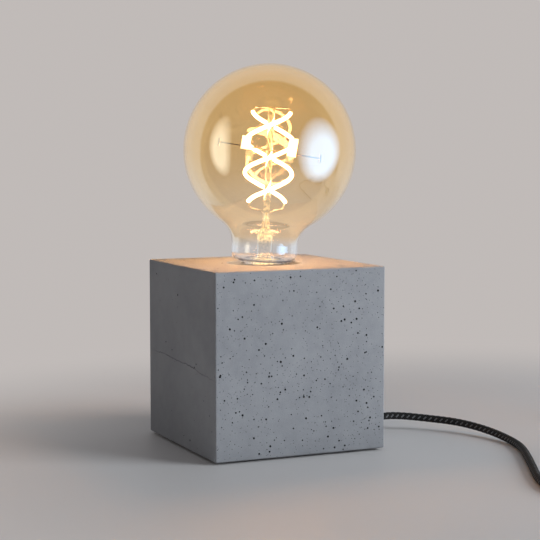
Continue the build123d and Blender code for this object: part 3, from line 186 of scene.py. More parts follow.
def relief(tree, height, depth, strength=1.0, under=None):
    """Normal of a small relief, laid over another one."""
    sockets = {"Height": height, "Distance": depth, "Strength": strength}
    if under is not None:
        sockets["Normal"] = under
    return place(tree, "ShaderNodeBump", sockets).outputs["Normal"]


def new_object(name, mesh):
    """An object for a mesh or curve, linked into the scene."""
    thing = bpy.data.objects.new(name, mesh)
    bpy.context.scene.collection.objects.link(thing)
    return thing


def plain_mesh(thing, name):
    """The evaluated shape of an object as a plain mesh."""
    thing.update_tag()
    view = bpy.context.evaluated_depsgraph_get()
    mesh = bpy.data.meshes.new_from_object(thing.evaluated_get(view))
    mesh.name = name
    return mesh


def round_shaded(mesh):
    """Smooth shading on round faces only; those square to an axis stay flat."""
    rounded = [max(map(abs, face.normal)) < FLAT_ENOUGH for face in mesh.polygons]
    mesh.polygons.foreach_set("use_smooth", rounded)
    return mesh


def dress(material, *nodes):
    """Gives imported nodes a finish."""
    for name in nodes:
        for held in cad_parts[name].material_slots:
            held.material = material


block_low, block_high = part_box("concrete_block")
block_half = (block_high.x - block_low.x) / 2

concrete, tree, shader = new_finish("concrete")
at = object_place(tree)
clouds = noise(tree, at, *CLOUD_NOISE)
patches = noise(tree, at, *PATCH_NOISE)
sand = noise(tree, at, *SAND_NOISE)
colour = ramp(tree, blended(tree, clouds, patches, CLOUD_SHARE), *CONCRETE_TONES)
colour = mixed(tree, 1.0, colour, ramp(tree, sand, *SAND_TONES), "MULTIPLY")
dots = place(
    tree,
    "ShaderNodeTexVoronoi",
    {"Vector": at, "Scale": PINHOLE_SCALE, "Randomness": 1.0},
    feature="F1",
)
dot_size = spread(tree, noise(tree, at, *PINHOLE_NOISE), *PINHOLE_SIZES)
pinholes = maths(tree, "LESS_THAN", dots.outputs["Distance"], dot_size)
spot = place(tree, "ShaderNodeSeparateXYZ", {"Vector": at})
# Painted shade: the colour darkens over the lowest part of the cube.
foot_shade_top = block_low.z + FOOT_SHADE_RISE
painted_foot_shade = spread(tree, spot.outputs["Z"], block_low.z, foot_shade_top, FOOT_SHADE_TONE, 1.0)
colour = mixed(tree, 1.0, colour, painted_foot_shade, "MULTIPLY")
broad_side = maths(tree, "GREATER_THAN", spot.outputs["X"], block_half - SKIN)
pinhole_strength = spread(tree, broad_side, 0.0, 1.0, PINHOLES_REST, PINHOLES_BROAD)
pinholes = maths(tree, "MULTIPLY", pinholes, pinhole_strength)
# Painted shade: pinholes are coloured towards near black, as tiny holes in shade.
colour = mixed(tree, pinholes, colour, PORE_SHADE)
front = maths(tree, "LESS_THAN", spot.outputs["Y"], SKIN - block_half)
swing = maths(tree, "SUBTRACT", noise(tree, at, POUR_LINE_NOISE), 0.5)
wander = maths(tree, "MULTIPLY", swing, POUR_LINE_WANDER)
crossed = spread(tree, spot.outputs["X"], -block_half, block_half, 0.0, 1.0)
fall = maths(tree, "MULTIPLY", maths(tree, "POWER", crossed, POUR_LINE_CURVE), POUR_LINE_FALL)
line_z = maths(tree, "ADD", maths(tree, "SUBTRACT", block_low.z + POUR_LINE_UP, fall), wander)
off_line = maths(tree, "ABSOLUTE", maths(tree, "SUBTRACT", spot.outputs["Z"], line_z))
pour = maths(tree, "MULTIPLY", spread(tree, off_line, 0.0, POUR_LINE_W, 1.0, 0.0), front)
pour = maths(tree, "MULTIPLY", pour, spread(tree, patches, *POUR_LINE_UNEVEN))
off_middle = maths(tree, "ABSOLUTE", maths(tree, "SUBTRACT", crossed, 0.5))
pour = maths(tree, "MULTIPLY", pour, spread(tree, off_middle, *POUR_LINE_ENDS))
colour = mixed(tree, maths(tree, "MULTIPLY", pour, POUR_LINE_STRENGTH), colour, CRACK_DARK)
# Painted shade: the faces of the cut pits are coloured near black, on top of their own shading.
pit = place(tree, "ShaderNodeAttribute", attribute_name="pit").outputs["Fac"]
colour = mixed(tree, maths(tree, "MULTIPLY", pit, PIT_SHADE_STRENGTH), colour, PORE_SHADE)
tree.links.new(colour, shader.inputs["Base Color"])
tree.links.new(spread(tree, patches, *CONCRETE_ROUGHNESS), shader.inputs["Roughness"])
shader.inputs["Specular IOR Level"].default_value = CONCRETE_SHINE
raised = maths(tree, "SUBTRACT", 1.0, maths(tree, "MAXIMUM", pinholes, pour))
bumps = relief(tree, sand, SAND_DEPTH)
bumps = relief(tree, patches, PATCH_DEPTH, RELIEF_STRENGTH, bumps)
bumps = relief(tree, raised, HOLLOW_DEPTH, RELIEF_STRENGTH, bumps)
tree.links.new(bumps, shader.inputs["Normal"])

pores = bpy.data.node_groups.new("air_pores", "GeometryNodeTree")
pores.interface.new_socket("Geometry", in_out="OUTPUT", socket_type="NodeSocketGeometry")
pore_inputs = {
    name: pores.interface.new_socket(name, in_out="INPUT", socket_type="NodeSocket" + kind)
    for name, kind in (
        ("Block", "Geometry"),
        ("Half side", "Float"),
        ("Top", "Float"),
        ("Broad side density", "Float"),
        ("Other density", "Float"),
        ("Smallest", "Float"),
        ("Largest", "Float"),
        ("Skew", "Float"),
        ("Seed", "Int"),
        ("Finish", "Material"),
    )
}
given = place(pores, "NodeGroupInput").outputs
where = place(pores, "GeometryNodeInputPosition").outputs[0]
centre = place(pores, "ShaderNodeSeparateXYZ", {0: where})
normal = place(pores, "GeometryNodeInputNormal").outputs[0]
facing = place(pores, "ShaderNodeSeparateXYZ", {0: normal})
outmost = maths(
    pores,
    "MAXIMUM",
    maths(pores, "ABSOLUTE", centre.outputs["X"]),
    maths(pores, "ABSOLUTE", centre.outputs["Y"]),
)
near_side = maths(pores, "MULTIPLY", given["Half side"], NEARLY_AT)
near_top = maths(pores, "MULTIPLY", given["Top"], NEARLY_AT)
on_side = maths(pores, "GREATER_THAN", outmost, near_side)
on_top = maths(pores, "GREATER_THAN", centre.outputs["Z"], near_top)
outside = maths(pores, "MAXIMUM", on_side, on_top)
faces_broad = maths(pores, "GREATER_THAN", facing.outputs["X"], SQUARE_ON)
on_broad = maths(pores, "MULTIPLY", on_side, faces_broad)
on_rest = maths(pores, "SUBTRACT", outside, on_broad)
gathered = spread(pores, noise(pores, where, PORE_CLUSTERS), *PORE_GATHERING)
spots = place(pores, "GeometryNodeJoinGeometry")
for chosen, density in ((on_broad, "Broad side density"), (on_rest, "Other density")):
    thickness = maths(pores, "MULTIPLY", given[density], gathered)
    scattered = place(
        pores,
        "GeometryNodeDistributePointsOnFaces",
        {"Mesh": given["Block"], "Selection": chosen, "Density": thickness, "Seed": given["Seed"]},
    )
    pores.links.new(scattered.outputs["Points"], spots.inputs[0])
chance = place(
    pores, "FunctionNodeRandomValue", {2: 0.0, 3: 1.0, "Seed": given["Seed"]}, data_type="FLOAT"
)
skewed = maths(pores, "POWER", chance.outputs[1], given["Skew"])
size = spread(pores, skewed, 0.0, 1.0, given["Smallest"], given["Largest"])
turn = place(
    pores, "FunctionNodeRandomValue", {0: (0, 0, 0), 1: PORE_TURNS}, data_type="FLOAT_VECTOR"
)
bubble = place(
    pores, "GeometryNodeMeshIcoSphere", {"Radius": 1.0, "Subdivisions": PORE_SUBDIVISIONS}
)
# Pit faces are marked so that the concrete can paint shade into them.
marked = place(
    pores,
    "GeometryNodeStoreNamedAttribute",
    {"Geometry": bubble.outputs["Mesh"], "Name": "pit", "Value": 1.0},
    data_type="FLOAT",
    domain="FACE",
)
bubbles = place(
    pores,
    "GeometryNodeInstanceOnPoints",
    {
        "Points": spots.outputs[0],
        "Instance": marked.outputs["Geometry"],
        "Rotation": turn.outputs[0],
        "Scale": size,
    },
)
solid_bubbles = place(pores, "GeometryNodeRealizeInstances", {0: bubbles.outputs[0]})
pitted = place(
    pores,
    "GeometryNodeMeshBoolean",
    {"Mesh 1": given["Block"]},
    operation="DIFFERENCE",
    solver="MANIFOLD",
)
pores.links.new(solid_bubbles.outputs[0], pitted.inputs["Mesh 2"])
whole = place(pores, "GeometryNodeRealizeInstances", {0: pitted.outputs["Mesh"]})
painted = place(
    pores,
    "GeometryNodeSetMaterial",
    {"Geometry": whole.outputs[0], "Material": given["Finish"]},
)
place(pores, "NodeGroupOutput", {0: painted.outputs[0]})

block_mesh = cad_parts["concrete_block"].data.copy()
welded = bmesh.new()
welded.from_mesh(block_mesh)
bmesh.ops.remove_doubles(welded, verts=welded.verts, dist=WELD)
for axis in range(3):
    cut_normal = Vector([float(axis == i) for i in range(3)])
    for step in range(1, int((block_high[axis] - block_low[axis]) / MOULD_CELL)):
        cut_at = cut_normal * (block_low[axis] + step * MOULD_CELL)
        everything = welded.verts[:] + welded.edges[:] + welded.faces[:]
        bmesh.ops.bisect_plane(
            welded, geom=everything, dist=CUT_WELD, plane_co=cut_at, plane_no=cut_normal
        )
bmesh.ops.triangulate(welded, faces=welded.faces)
welded.to_mesh(block_mesh)
welded.free()
block_cast = new_object("block_cast", block_mesh)
pitting = block_cast.modifiers.new("air_pores", "NODES")
pitting.node_group = pores
for name, value in (
    ("Half side", block_half),
    ("Top", block_high.z),
    ("Broad side density", PORES_PER_M2_BROAD),
    ("Other density", PORES_PER_M2_REST),
    ("Smallest", PORE_SMALLEST_R),
    ("Largest", PORE_LARGEST_R),
    ("Skew", PORE_SKEW),
    ("Seed", PORE_SEED),
    ("Finish", concrete),
):
    pitting[pore_inputs[name].identifier] = value
pitted_mesh = round_shaded(plain_mesh(block_cast, "concrete_cube"))
block_cast.modifiers.remove(pitting)
bpy.data.objects.remove(block_cast)
cube = new_object("concrete_cube", pitted_mesh)
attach(cube, "lamp")
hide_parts("concrete_block")

# Base plate, pads and screws
# A powder-coated steel plate closes the cube from below; foam pads stick to it.
# Zinc-plated screws go into brass inserts cast into the concrete.
POWDER_BLACK = (0.035, 0.035, 0.036, 1)
POWDER_GREY = (0.06, 0.06, 0.06, 1)
FOAM_BLACK = (0.02, 0.02, 0.02, 1)
FOAM_GREY = (0.045, 0.045, 0.045, 1)
ZINC_PALE = (0.62, 0.62, 0.6, 1)
ZINC_DARK = (0.42, 0.42, 0.41, 1)
BRASS_PALE = (0.82, 0.62, 0.28, 1)
BRASS_DARK = (0.6, 0.42, 0.17, 1)
MOTTLE_LOW = 0.3
MOTTLE_HIGH = 0.7
BROAD_SHARE = 0.6
BROAD_DETAIL = 5.0
FINE_DETAIL = 3.0
FINER_TIMES = 9
ROUGH_VARIES = 0.15


def mottled_finish(name, dark, pale, scale, rough, depth, metallic=0.0):
    """A finish with a mottled colour, uneven gloss and a fine relief."""
    material, tree, shader = new_finish(name)
    at = object_place(tree)
    broad = noise(tree, at, scale, BROAD_DETAIL)
    fine = noise(tree, at, scale * FINER_TIMES, FINE_DETAIL)
    both = blended(tree, broad, fine, BROAD_SHARE)
    colour = ramp(tree, both, (MOTTLE_LOW, dark), (MOTTLE_HIGH, pale))
    smooth = rough * (1 - ROUGH_VARIES)
    matt = rough * (1 + ROUGH_VARIES)
    roughness = spread(tree, both, MOTTLE_LOW, MOTTLE_HIGH, smooth, matt)
    tree.links.new(colour, shader.inputs["Base Color"])
    tree.links.new(roughness, shader.inputs["Roughness"])
    tree.links.new(relief(tree, fine, depth), shader.inputs["Normal"])
    shader.inputs["Metallic"].default_value = metallic
    return material


powder_coat = mottled_finish(
    "powder_coat", POWDER_BLACK, POWDER_GREY, scale=260.0, rough=0.55, depth=0.00006
)
foam = mottled_finish(
    "foam_pad", FOAM_BLACK, FOAM_GREY, scale=420.0, rough=0.95, depth=0.00015
)
zinc = mottled_finish(
    "zinc_plating", ZINC_DARK, ZINC_PALE, scale=320.0, rough=0.32, depth=0.00001, metallic=1.0
)
brass = mottled_finish(
    "drawn_brass", BRASS_DARK, BRASS_PALE, scale=240.0, rough=0.28, depth=0.00001, metallic=1.0
)
dress(powder_coat, "base_plate")
dress(foam, "feet")
dress(zinc, "base_screws", "bar_screws", "terminal_screws", "grip_screw", "switch_screws")
dress(brass, "base_inserts", "bar_inserts")

# Bar, nipple and cord grip
# A zinc-plated steel bar spans the bore from below and carries the lampholder on a hollow nipple
# with a lock washer and nut. A moulded grip on its lower end clamps the cord.
MOULDED_BLACK = (0.018, 0.018, 0.019, 1)
MOULDED_GREY = (0.042, 0.042, 0.043, 1)
moulded = mottled_finish(
    "moulded_black", MOULDED_BLACK, MOULDED_GREY, scale=900.0, rough=0.48, depth=0.00004
)
dress(zinc, "holder_bar", "nipple", "lock_washer", "nipple_nut")
dress(moulded, "cord_grip")

# Lampholder
# Dome and sleeve are pressed from dark phenolic resin, the core is glazed porcelain, and the
# screw shell and both contacts are brass.
RESIN_BLACK = (0.022, 0.016, 0.012, 1)
RESIN_BROWN = (0.055, 0.036, 0.026, 1)
PORCELAIN_SHADE = (0.7, 0.68, 0.63, 1)
PORCELAIN_WHITE = (0.86, 0.85, 0.81, 1)
resin = mottled_finish(
    "phenolic_resin", RESIN_BLACK, RESIN_BROWN, scale=110.0, rough=0.3, depth=0.00002
)
porcelain = mottled_finish(
    "glazed_porcelain", PORCELAIN_SHADE, PORCELAIN_WHITE, scale=180.0, rough=0.22, depth=0.00001
)
dress(resin, "holder_dome", "holder_sleeve")
dress(porcelain, "holder_core")
dress(brass, "screw_shell", "side_contact", "centre_contact")

# Leads inside the nipple
# Two copper leads in extruded insulation, brown and blue, run from the grip up through the nipple
# and are held by the terminal screws.
BROWN_DARK = (0.12, 0.05, 0.02, 1)
BROWN_PALE = (0.2, 0.09, 0.04, 1)
BLUE_DARK = (0.03, 0.1, 0.3, 1)
BLUE_PALE = (0.06, 0.17, 0.45, 1)
brown = mottled_finish(
    "brown_insulation", BROWN_DARK, BROWN_PALE, scale=300.0, rough=0.45, depth=0.00002
)
blue = mottled_finish(
    "blue_insulation", BLUE_DARK, BLUE_PALE, scale=300.0, rough=0.45, depth=0.00002
)
dress(brown, "lead_brown")
dress(blue, "lead_blue")

# Bulb cap and driver
# A nickel-plated screw cap with a black glass insulator and a soldered contact button; a small
# laminate board with its capacitor and chip sits inside.
NICKEL_DARK = (0.55, 0.54, 0.5, 1)
NICKEL_PALE = (0.78, 0.76, 0.71, 1)
CAP_GLASS_BLACK = (0.012, 0.012, 0.014, 1)
CAP_GLASS_BLUE = (0.03, 0.03, 0.04, 1)
LAMINATE_DARK = (0.42, 0.4, 0.3, 1)
LAMINATE_PALE = (0.6, 0.57, 0.45, 1)
nickel = mottled_finish(
    "nickel_plating", NICKEL_DARK, NICKEL_PALE, scale=260.0, rough=0.25, depth=0.00001, metallic=1.0
)
cap_glass = mottled_finish(
    "black_cap_glass", CAP_GLASS_BLACK, CAP_GLASS_BLUE, scale=200.0, rough=0.15, depth=0.00001
)
laminate = mottled_finish(
    "board_laminate", LAMINATE_DARK, LAMINATE_PALE, scale=500.0, rough=0.5, depth=0.00003
)
dress(nickel, "bulb_cap", "bulb_contact", "plug_pins")
dress(cap_glass, "cap_insulator")
dress(laminate, "driver_board")
dress(moulded, "driver_parts")

# Bulb glass
# A blown globe with a thin wall, sprayed gold inside; the colour fades to clear glass at the foot
# of the neck. It sits in the cap and leans a little.
GOLD_TINT = (0.975, 0.8, 0.5, 1)
CLEAR_TINT = (0.985, 0.98, 0.965, 1)
GOLD_FADE = ((0.085, 0.0), (0.14, 0.5), (0.29, 0.57), (0.55, 0.85), (0.95, 1.0))
GOLD_GLOW = (1.0, 0.6, 0.22, 1)
CLEAR_GLOW = (0.78, 0.82, 0.95, 1)
GLOW_STRENGTH = 0.036
GOLD_NOISE = 30.0
GOLD_WANDER = 0.006
GLASS_ROUGHNESS = 0.0
COATED_IOR = 1.75
BARE_IOR = 1.5


def see_through(tree, shader, tint, ior):
    """Glass that lets lamp light straight through, tinted, in place of caustics."""
    shader.inputs["Transmission Weight"].default_value = 1.0
    shader.inputs["IOR"].default_value = ior
    path = place(tree, "ShaderNodeLightPath")
    straight = place(tree, "ShaderNodeBsdfTransparent")
    tree.links.new(tint, straight.inputs["Color"])
    tree.links.new(tint, shader.inputs["Base Color"])
    both = place(
        tree,
        "ShaderNodeMixShader",
        {0: path.outputs["Is Shadow Ray"], 1: shader.outputs[0], 2: straight.outputs[0]},
    )
    tree.links.new(both.outputs[0], tree.nodes["Material Output"].inputs["Surface"])


rim_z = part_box("bulb_cap")[1].z
glass_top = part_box("bulb_glass")[1].z
gold_glass, tree, shader = new_finish("gold_glass")
at = object_place(tree)
height = place(tree, "ShaderNodeSeparateXYZ", {"Vector": at}).outputs["Z"]
swing = maths(tree, "SUBTRACT", noise(tree, at, GOLD_NOISE), 0.5)
cloud = maths(tree, "MULTIPLY", swing, GOLD_WANDER)
up_glass = spread(tree, maths(tree, "ADD", height, cloud), rim_z, glass_top, 0.0, 1.0)
golden = ramp(tree, up_glass, *((share, (gold, gold, gold, 1)) for share, gold in GOLD_FADE))
tint = mixed(tree, golden, CLEAR_TINT, GOLD_TINT)
shader.inputs["Roughness"].default_value = GLASS_ROUGHNESS
# Painted light: the glass itself glows, warm gold where it is coated and cool white on the clear
# neck.
shader.inputs["Emission Strength"].default_value = GLOW_STRENGTH
tree.links.new(mixed(tree, golden, CLEAR_GLOW, GOLD_GLOW), shader.inputs["Emission Color"])
see_through(tree, shader, tint, COATED_IOR)
dress(gold_glass, "bulb_glass")

# Stem, wires and clips inside the bulb
# A clear glass stem pinched round the lead wires, with a rod up the middle. One support wire goes
# through the rod and holds two ceramic clips.
STEM_CLEAR = (0.97, 0.97, 0.96, 1)
STEM_SHADE = (0.93, 0.93, 0.91, 1)
STEM_ROUGHNESS = 0.02
PIPED_FULL = (1.0, 0.68, 0.3, 1)
PIPED_FAINT = (0.1, 0.06, 0.025, 1)
PIPED_ROD = (0.65, 0.46, 0.22, 1)
PIPED_LIGHT = (
    (0.0, PIPED_FULL),
    (0.085, PIPED_FULL),
    (0.11, PIPED_FAINT),
    (0.2, PIPED_FAINT),
    (0.24, PIPED_FULL),
    (0.31, PIPED_FULL),
    (0.36, PIPED_ROD),
)
PIPED_STRENGTH = 0.42
GLINT_DARK = (0.04, 0.04, 0.04, 1)
GLINT_BRIGHT = (1.3, 1.3, 1.3, 1)
GLINT_NOISE = (760.0, 2.0)
GLINTS = ((0.46, GLINT_DARK), (0.6, GLINT_BRIGHT))
STREAK_NOISE = (80.0, 3.0)
CERAMIC_NOISE = 500.0
CERAMIC_ROUGHNESS = 0.4
CLIP_GLOW = (1.0, 0.86, 0.6, 1)
CLIP_GLOW_STRENGTH = 2.5
WIRE_DARK = (0.06, 0.055, 0.05, 1)
WIRE_PALE = (0.14, 0.13, 0.12, 1)
clear_glass, tree, shader = new_finish("clear_stem_glass")
at = object_place(tree)
streaks = noise(tree, at, *STREAK_NOISE)
stem_tint = ramp(tree, streaks, (MOTTLE_LOW, STEM_SHADE), (MOTTLE_HIGH, STEM_CLEAR))
shader.inputs["Roughness"].default_value = STEM_ROUGHNESS
stem_low, stem_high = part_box("bulb_stem")
up_stem = place(tree, "ShaderNodeSeparateXYZ", {"Vector": at}).outputs["Z"]
piped = spread(tree, up_stem, stem_low.z, stem_high.z, 0.0, 1.0)
# Painted light: the stem glows, bright at its foot and collar, fainter between them and up the rod,
# broken into painted glints.
glints = ramp(tree, noise(tree, at, *GLINT_NOISE), *GLINTS)
piped_light = mixed(tree, 1.0, ramp(tree, piped, *PIPED_LIGHT), glints, "MULTIPLY")
tree.links.new(piped_light, shader.inputs["Emission Color"])
shader.inputs["Emission Strength"].default_value = PIPED_STRENGTH
see_through(tree, shader, stem_tint, BARE_IOR)
dress(clear_glass, "bulb_stem")
drawn_wire = mottled_finish(
    "drawn_wire", WIRE_DARK, WIRE_PALE, scale=400.0, rough=0.4, depth=0.00001, metallic=1.0
)
dress(drawn_wire, "support_wire")
dress(nickel, "filament_leads")
lit_ceramic, tree, shader = new_finish("lit_ceramic")
tone = noise(tree, object_place(tree), CERAMIC_NOISE)
ceramic = ramp(tree, tone, (MOTTLE_LOW, PORCELAIN_SHADE), (MOTTLE_HIGH, PORCELAIN_WHITE))
tree.links.new(ceramic, shader.inputs["Base Color"])
shader.inputs["Roughness"].default_value = CERAMIC_ROUGHNESS
# Painted light: the clips glow warm, as if lit by the strands beside them.
shader.inputs["Emission Color"].default_value = CLIP_GLOW
shader.inputs["Emission Strength"].default_value = CLIP_GLOW_STRENGTH
dress(lit_ceramic, "filament_clips")

# Filament strands
# Two flexible strands of light-emitting points under a coat of yellow phosphor, lit. They bend
# round the rod as a double helix.
PHOSPHOR_DEEP = (1.0, 0.56, 0.275, 1)
PHOSPHOR_PALE = (1.0, 0.65, 0.39, 1)
PHOSPHOR_NOISE = (700.0, 2.0)
PHOSPHOR_TONES = ((0.35, PHOSPHOR_DEEP), (0.65, PHOSPHOR_PALE))
STRAND_LIGHT = 94.0
STRAND_ROUGHNESS = 0.5
lit_strand, tree, shader = new_finish("lit_strand")
points = noise(tree, object_place(tree), *PHOSPHOR_NOISE)
glow = ramp(tree, points, *PHOSPHOR_TONES)
tree.links.new(glow, shader.inputs["Base Color"])
tree.links.new(glow, shader.inputs["Emission Color"])
shader.inputs["Emission Strength"].default_value = STRAND_LIGHT
shader.inputs["Roughness"].default_value = STRAND_ROUGHNESS
dress(lit_strand, "filament_a", "filament_b")

# Textile cord
# A round two-core cord braided over with black and grey yarn. It leaves the cube through a sleeve,
# runs to the cord switch, and on to a tied coil and the plug.
CORD_D = 0.0043
YARNS = 8.0
YARN_BLACK = (0.026, 0.025, 0.024, 1)
YARN_GREY = (0.165, 0.165, 0.168, 1)
YARN_GAP_SHADE = (0.003, 0.003, 0.003, 1)
YARN_SHADE = (0.1, 0.6, 0.0, 1.0)
YARN_ROUGHNESS = 0.85
YARN_SHINE = 0.2
YARN_SHEEN = 0.05
YARN_SHEEN_ROUGHNESS = 0.5
FIBRE_NOISE = (5200.0, 2.0)
FIBRE_TONES = ((0.3, (0.6, 0.6, 0.6, 1)), (0.7, (1.4, 1.4, 1.4, 1)))
BRAID_DEPTH = 0.00012
BRAID_RELIEF = 0.0003
BRAID_TURN = math.radians(50.0)
FINE_RING = 0.00045
COARSE_RING = 0.0010
FINE_SIDES = 24
COARSE_SIDES = 16
ROUTE_ORDER = 3
ROUTE_STEPS = 12


def rounded_yarn(tree, yarn):
    """Height of yarns side by side, each one rounded."""
    wave = maths(tree, "SINE", maths(tree, "MULTIPLY", yarn, math.pi))
    return maths(tree, "ABSOLUTE", wave)


textile, tree, shader = new_finish("braided_textile")
unrolled = place(tree, "ShaderNodeTexCoord").outputs["UV"]
lay = place(tree, "ShaderNodeSeparateXYZ", {"Vector": unrolled})
round_it = lay.outputs["X"]
along_it = lay.outputs["Y"]
right_yarn = maths(tree, "MULTIPLY", maths(tree, "ADD", round_it, along_it), YARNS)
left_yarn = maths(tree, "MULTIPLY", maths(tree, "SUBTRACT", round_it, along_it), YARNS)
right_round = rounded_yarn(tree, right_yarn)
left_round = rounded_yarn(tree, left_yarn)
crossing = maths(tree, "ADD", maths(tree, "FLOOR", right_yarn), maths(tree, "FLOOR", left_yarn))
over = maths(tree, "PINGPONG", maths(tree, "FLOOR", maths(tree, "MULTIPLY", crossing, 0.5)), 1.0)
yarn_height = maths(
    tree,
    "ADD",
    maths(tree, "MULTIPLY", right_round, over),
    maths(tree, "MULTIPLY", left_round, maths(tree, "SUBTRACT", 1.0, over)),
)
fibre = ramp(tree, noise(tree, object_place(tree), *FIBRE_NOISE), *FIBRE_TONES)
other_yarn = maths(tree, "PINGPONG", maths(tree, "FLOOR", right_yarn), 1.0)
yarn = mixed(tree, maths(tree, "MULTIPLY", over, other_yarn), YARN_BLACK, YARN_GREY)
yarn = mixed(tree, 1.0, yarn, fibre, "MULTIPLY")
# Painted shade: the gaps between the yarns are coloured near black.
yarn = mixed(tree, spread(tree, yarn_height, *YARN_SHADE), YARN_GAP_SHADE, yarn)
tree.links.new(yarn, shader.inputs["Base Color"])
shader.inputs["Roughness"].default_value = YARN_ROUGHNESS
shader.inputs["Specular IOR Level"].default_value = YARN_SHINE
shader.inputs["Sheen Weight"].default_value = YARN_SHEEN
shader.inputs["Sheen Roughness"].default_value = YARN_SHEEN_ROUGHNESS
tree.links.new(relief(tree, yarn_height, BRAID_RELIEF), shader.inputs["Normal"])


def centre_line(points):
    """Points along a smooth spline that has these control points."""
    curve = bpy.data.curves.new("cord_line", "CURVE")
    curve.dimensions = "3D"
    spline = curve.splines.new("NURBS")
    spline.points.add(len(points) - 1)
    for point, place_of_it in zip(spline.points, points):
        point.co = (*place_of_it, 1.0)
    spline.order_u = ROUTE_ORDER
    spline.use_endpoint_u = True
    spline.resolution_u = ROUTE_STEPS
    holder = new_object("cord_line", curve)
    mesh = plain_mesh(holder, "cord_line")
    line = [vertex.co.copy() for vertex in mesh.vertices]
    bpy.data.objects.remove(holder)
    bpy.data.curves.remove(curve)
    bpy.data.meshes.remove(mesh)
    return line


def even_points(line, step):
    """The same line with its points an even step apart."""
    lengths = [0.0]
    for here, there in zip(line, line[1:]):
        lengths.append(lengths[-1] + (there - here).length)
    count = max(2, round(lengths[-1] / step))
    result = []
    span = 0
    for i in range(count + 1):
        goal = lengths[-1] * i / count
        while span < len(line) - 2 and lengths[span + 1] < goal:
            span += 1
        run = lengths[span + 1] - lengths[span]
        share = (goal - lengths[span]) / run if run else 0.0
        result.append(line[span].lerp(line[span + 1], min(max(share, 0.0), 1.0)))
    return result


def braided_tube(name, line, step, sides):
    """A closed tube along a line, its surface raised a little where the yarns cross."""
    rings = even_points(line, step)
    step = sum((b - a).length for a, b in zip(rings, rings[1:])) / (len(rings) - 1)
    turn_length = math.pi * CORD_D
    bm = bmesh.new()
    lay = bm.loops.layers.uv.new("lay")
    across = (rings[1] - rings[0]).orthogonal().normalized()
    circles = []
    for i, centre in enumerate(rings):
        ahead = (rings[min(i + 1, len(rings) - 1)] - rings[max(i - 1, 0)]).normalized()
        across = (across - ahead * across.dot(ahead)).normalized()
        beside = ahead.cross(across)
        circle = []
        for k in range(sides):
            turn = 2 * math.pi * k / sides
            wave = math.cos(YARNS / 2 * (turn + 2 * math.pi * i * step / turn_length))
            radius = CORD_D / 2 - BRAID_DEPTH / 2 * (1 - wave)
            turn += BRAID_TURN
            out = across * math.cos(turn) + beside * math.sin(turn)
            circle.append(bm.verts.new(centre + out * radius))
        circles.append(circle)
    for i, (low, high) in enumerate(zip(circles, circles[1:])):
        for k in range(sides):
            j = (k + 1) % sides
            face = bm.faces.new((low[k], low[j], high[j], high[k]))
            corners = ((k, i), (k + 1, i), (k + 1, i + 1), (k, i + 1))
            for loop, (a, b) in zip(face.loops, corners):
                loop[lay].uv = (a / sides, b * step / turn_length)
            face.smooth = True
    bm.faces.new(reversed(circles[0]))
    bm.faces.new(circles[-1])
    mesh = bpy.data.meshes.new(name)
    bm.to_mesh(mesh)
    bm.free()
    mesh.materials.append(textile)
    return new_object(name, mesh)


def millimetres(points):
    """Points given in millimetres, as vectors in metres."""
    return [Vector(point) / 1000 for point in points]


INNER_BEND = 0.006
INNER_END = 0.012
cord_r = CORD_D / 2
bush_low, bush_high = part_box("cord_bush")
exit_z = (bush_low.z + bush_high.z) / 2
grip_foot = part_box("cord_grip")[0].z
inner_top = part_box("cord_inner")[1].z
inner_line = [
    Vector((0, 0, inner_top)),
    Vector((0, 0, grip_foot)),
    Vector((0, 0, exit_z + INNER_BEND)),
    Vector((0, INNER_BEND, exit_z)),
    Vector((0, bush_low.y, exit_z)),
    Vector((0, bush_high.y - INNER_END, exit_z)),
]
inner_cord = braided_tube("inner_cord", centre_line(inner_line), COARSE_RING, COARSE_SIDES)
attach(inner_cord, "lamp")
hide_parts("cord_inner")

SLEEVE_LENGTH = 0.02
RUN_OUT = 0.013
sleeves_low, sleeves_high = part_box("switch_sleeves")
switch_x = (sleeves_low.x + sleeves_high.x) / 2
switch_z = (sleeves_low.z + sleeves_high.z) / 2
stub_low, stub_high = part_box("cord_in_switch")
switch_route = [
    Vector((0, bush_high.y - SLEEVE_LENGTH / 2, exit_z)),
    Vector((0, bush_high.y, exit_z)),
    Vector((0, bush_high.y + RUN_OUT, exit_z)),
    *millimetres(
        [
            (9.0, 101.0, 6.9),
            (24.0, 114.0, 6.1),
            (43.0, 121.5, 4.2),
            (64.0, 123.0, 2.15),
            (84.0, 117.0, 2.15),
            (105.0, 106.5, 2.15),
            (131.0, 92.5, 2.15),
            (152.0, 81.0, 2.15),
            (172.0, 73.5, 2.15),
            (191.0, 74.5, 2.15),
            (204.5, 87.0, 4.6),
            (208.5, 103.0, 7.5),
            (208.5, 118.0, 7.5),
        ]
    ),
    Vector((switch_x, stub_low.y + SLEEVE_LENGTH, switch_z)),
]
switch_line = centre_line(switch_route)
cord_to_switch = braided_tube("cord_lamp_to_switch", switch_line, FINE_RING, FINE_SIDES)
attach(cord_to_switch, "lamp")
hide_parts("cord_to_switch", "cord_in_switch")

COIL_AT = Vector((0.1696, 0.207))
COIL_LAYERS = 4
COIL_TURNS_PER_LAYER = 2.25
COIL_MEAN_R = 0.0228
COIL_STEP = 0.0050
COIL_LAYER_STEP = 0.0048
COIL_FOLD = 0.25
COIL_FOOT = 0.0013
COIL_POINTS_PER_TURN = 16
COIL_RUN_IN = 0.014
COIL_NUDGE = 0.0005
coil_turns = COIL_LAYERS * COIL_TURNS_PER_LAYER
coil_half_width = COIL_STEP * COIL_TURNS_PER_LAYER / 2


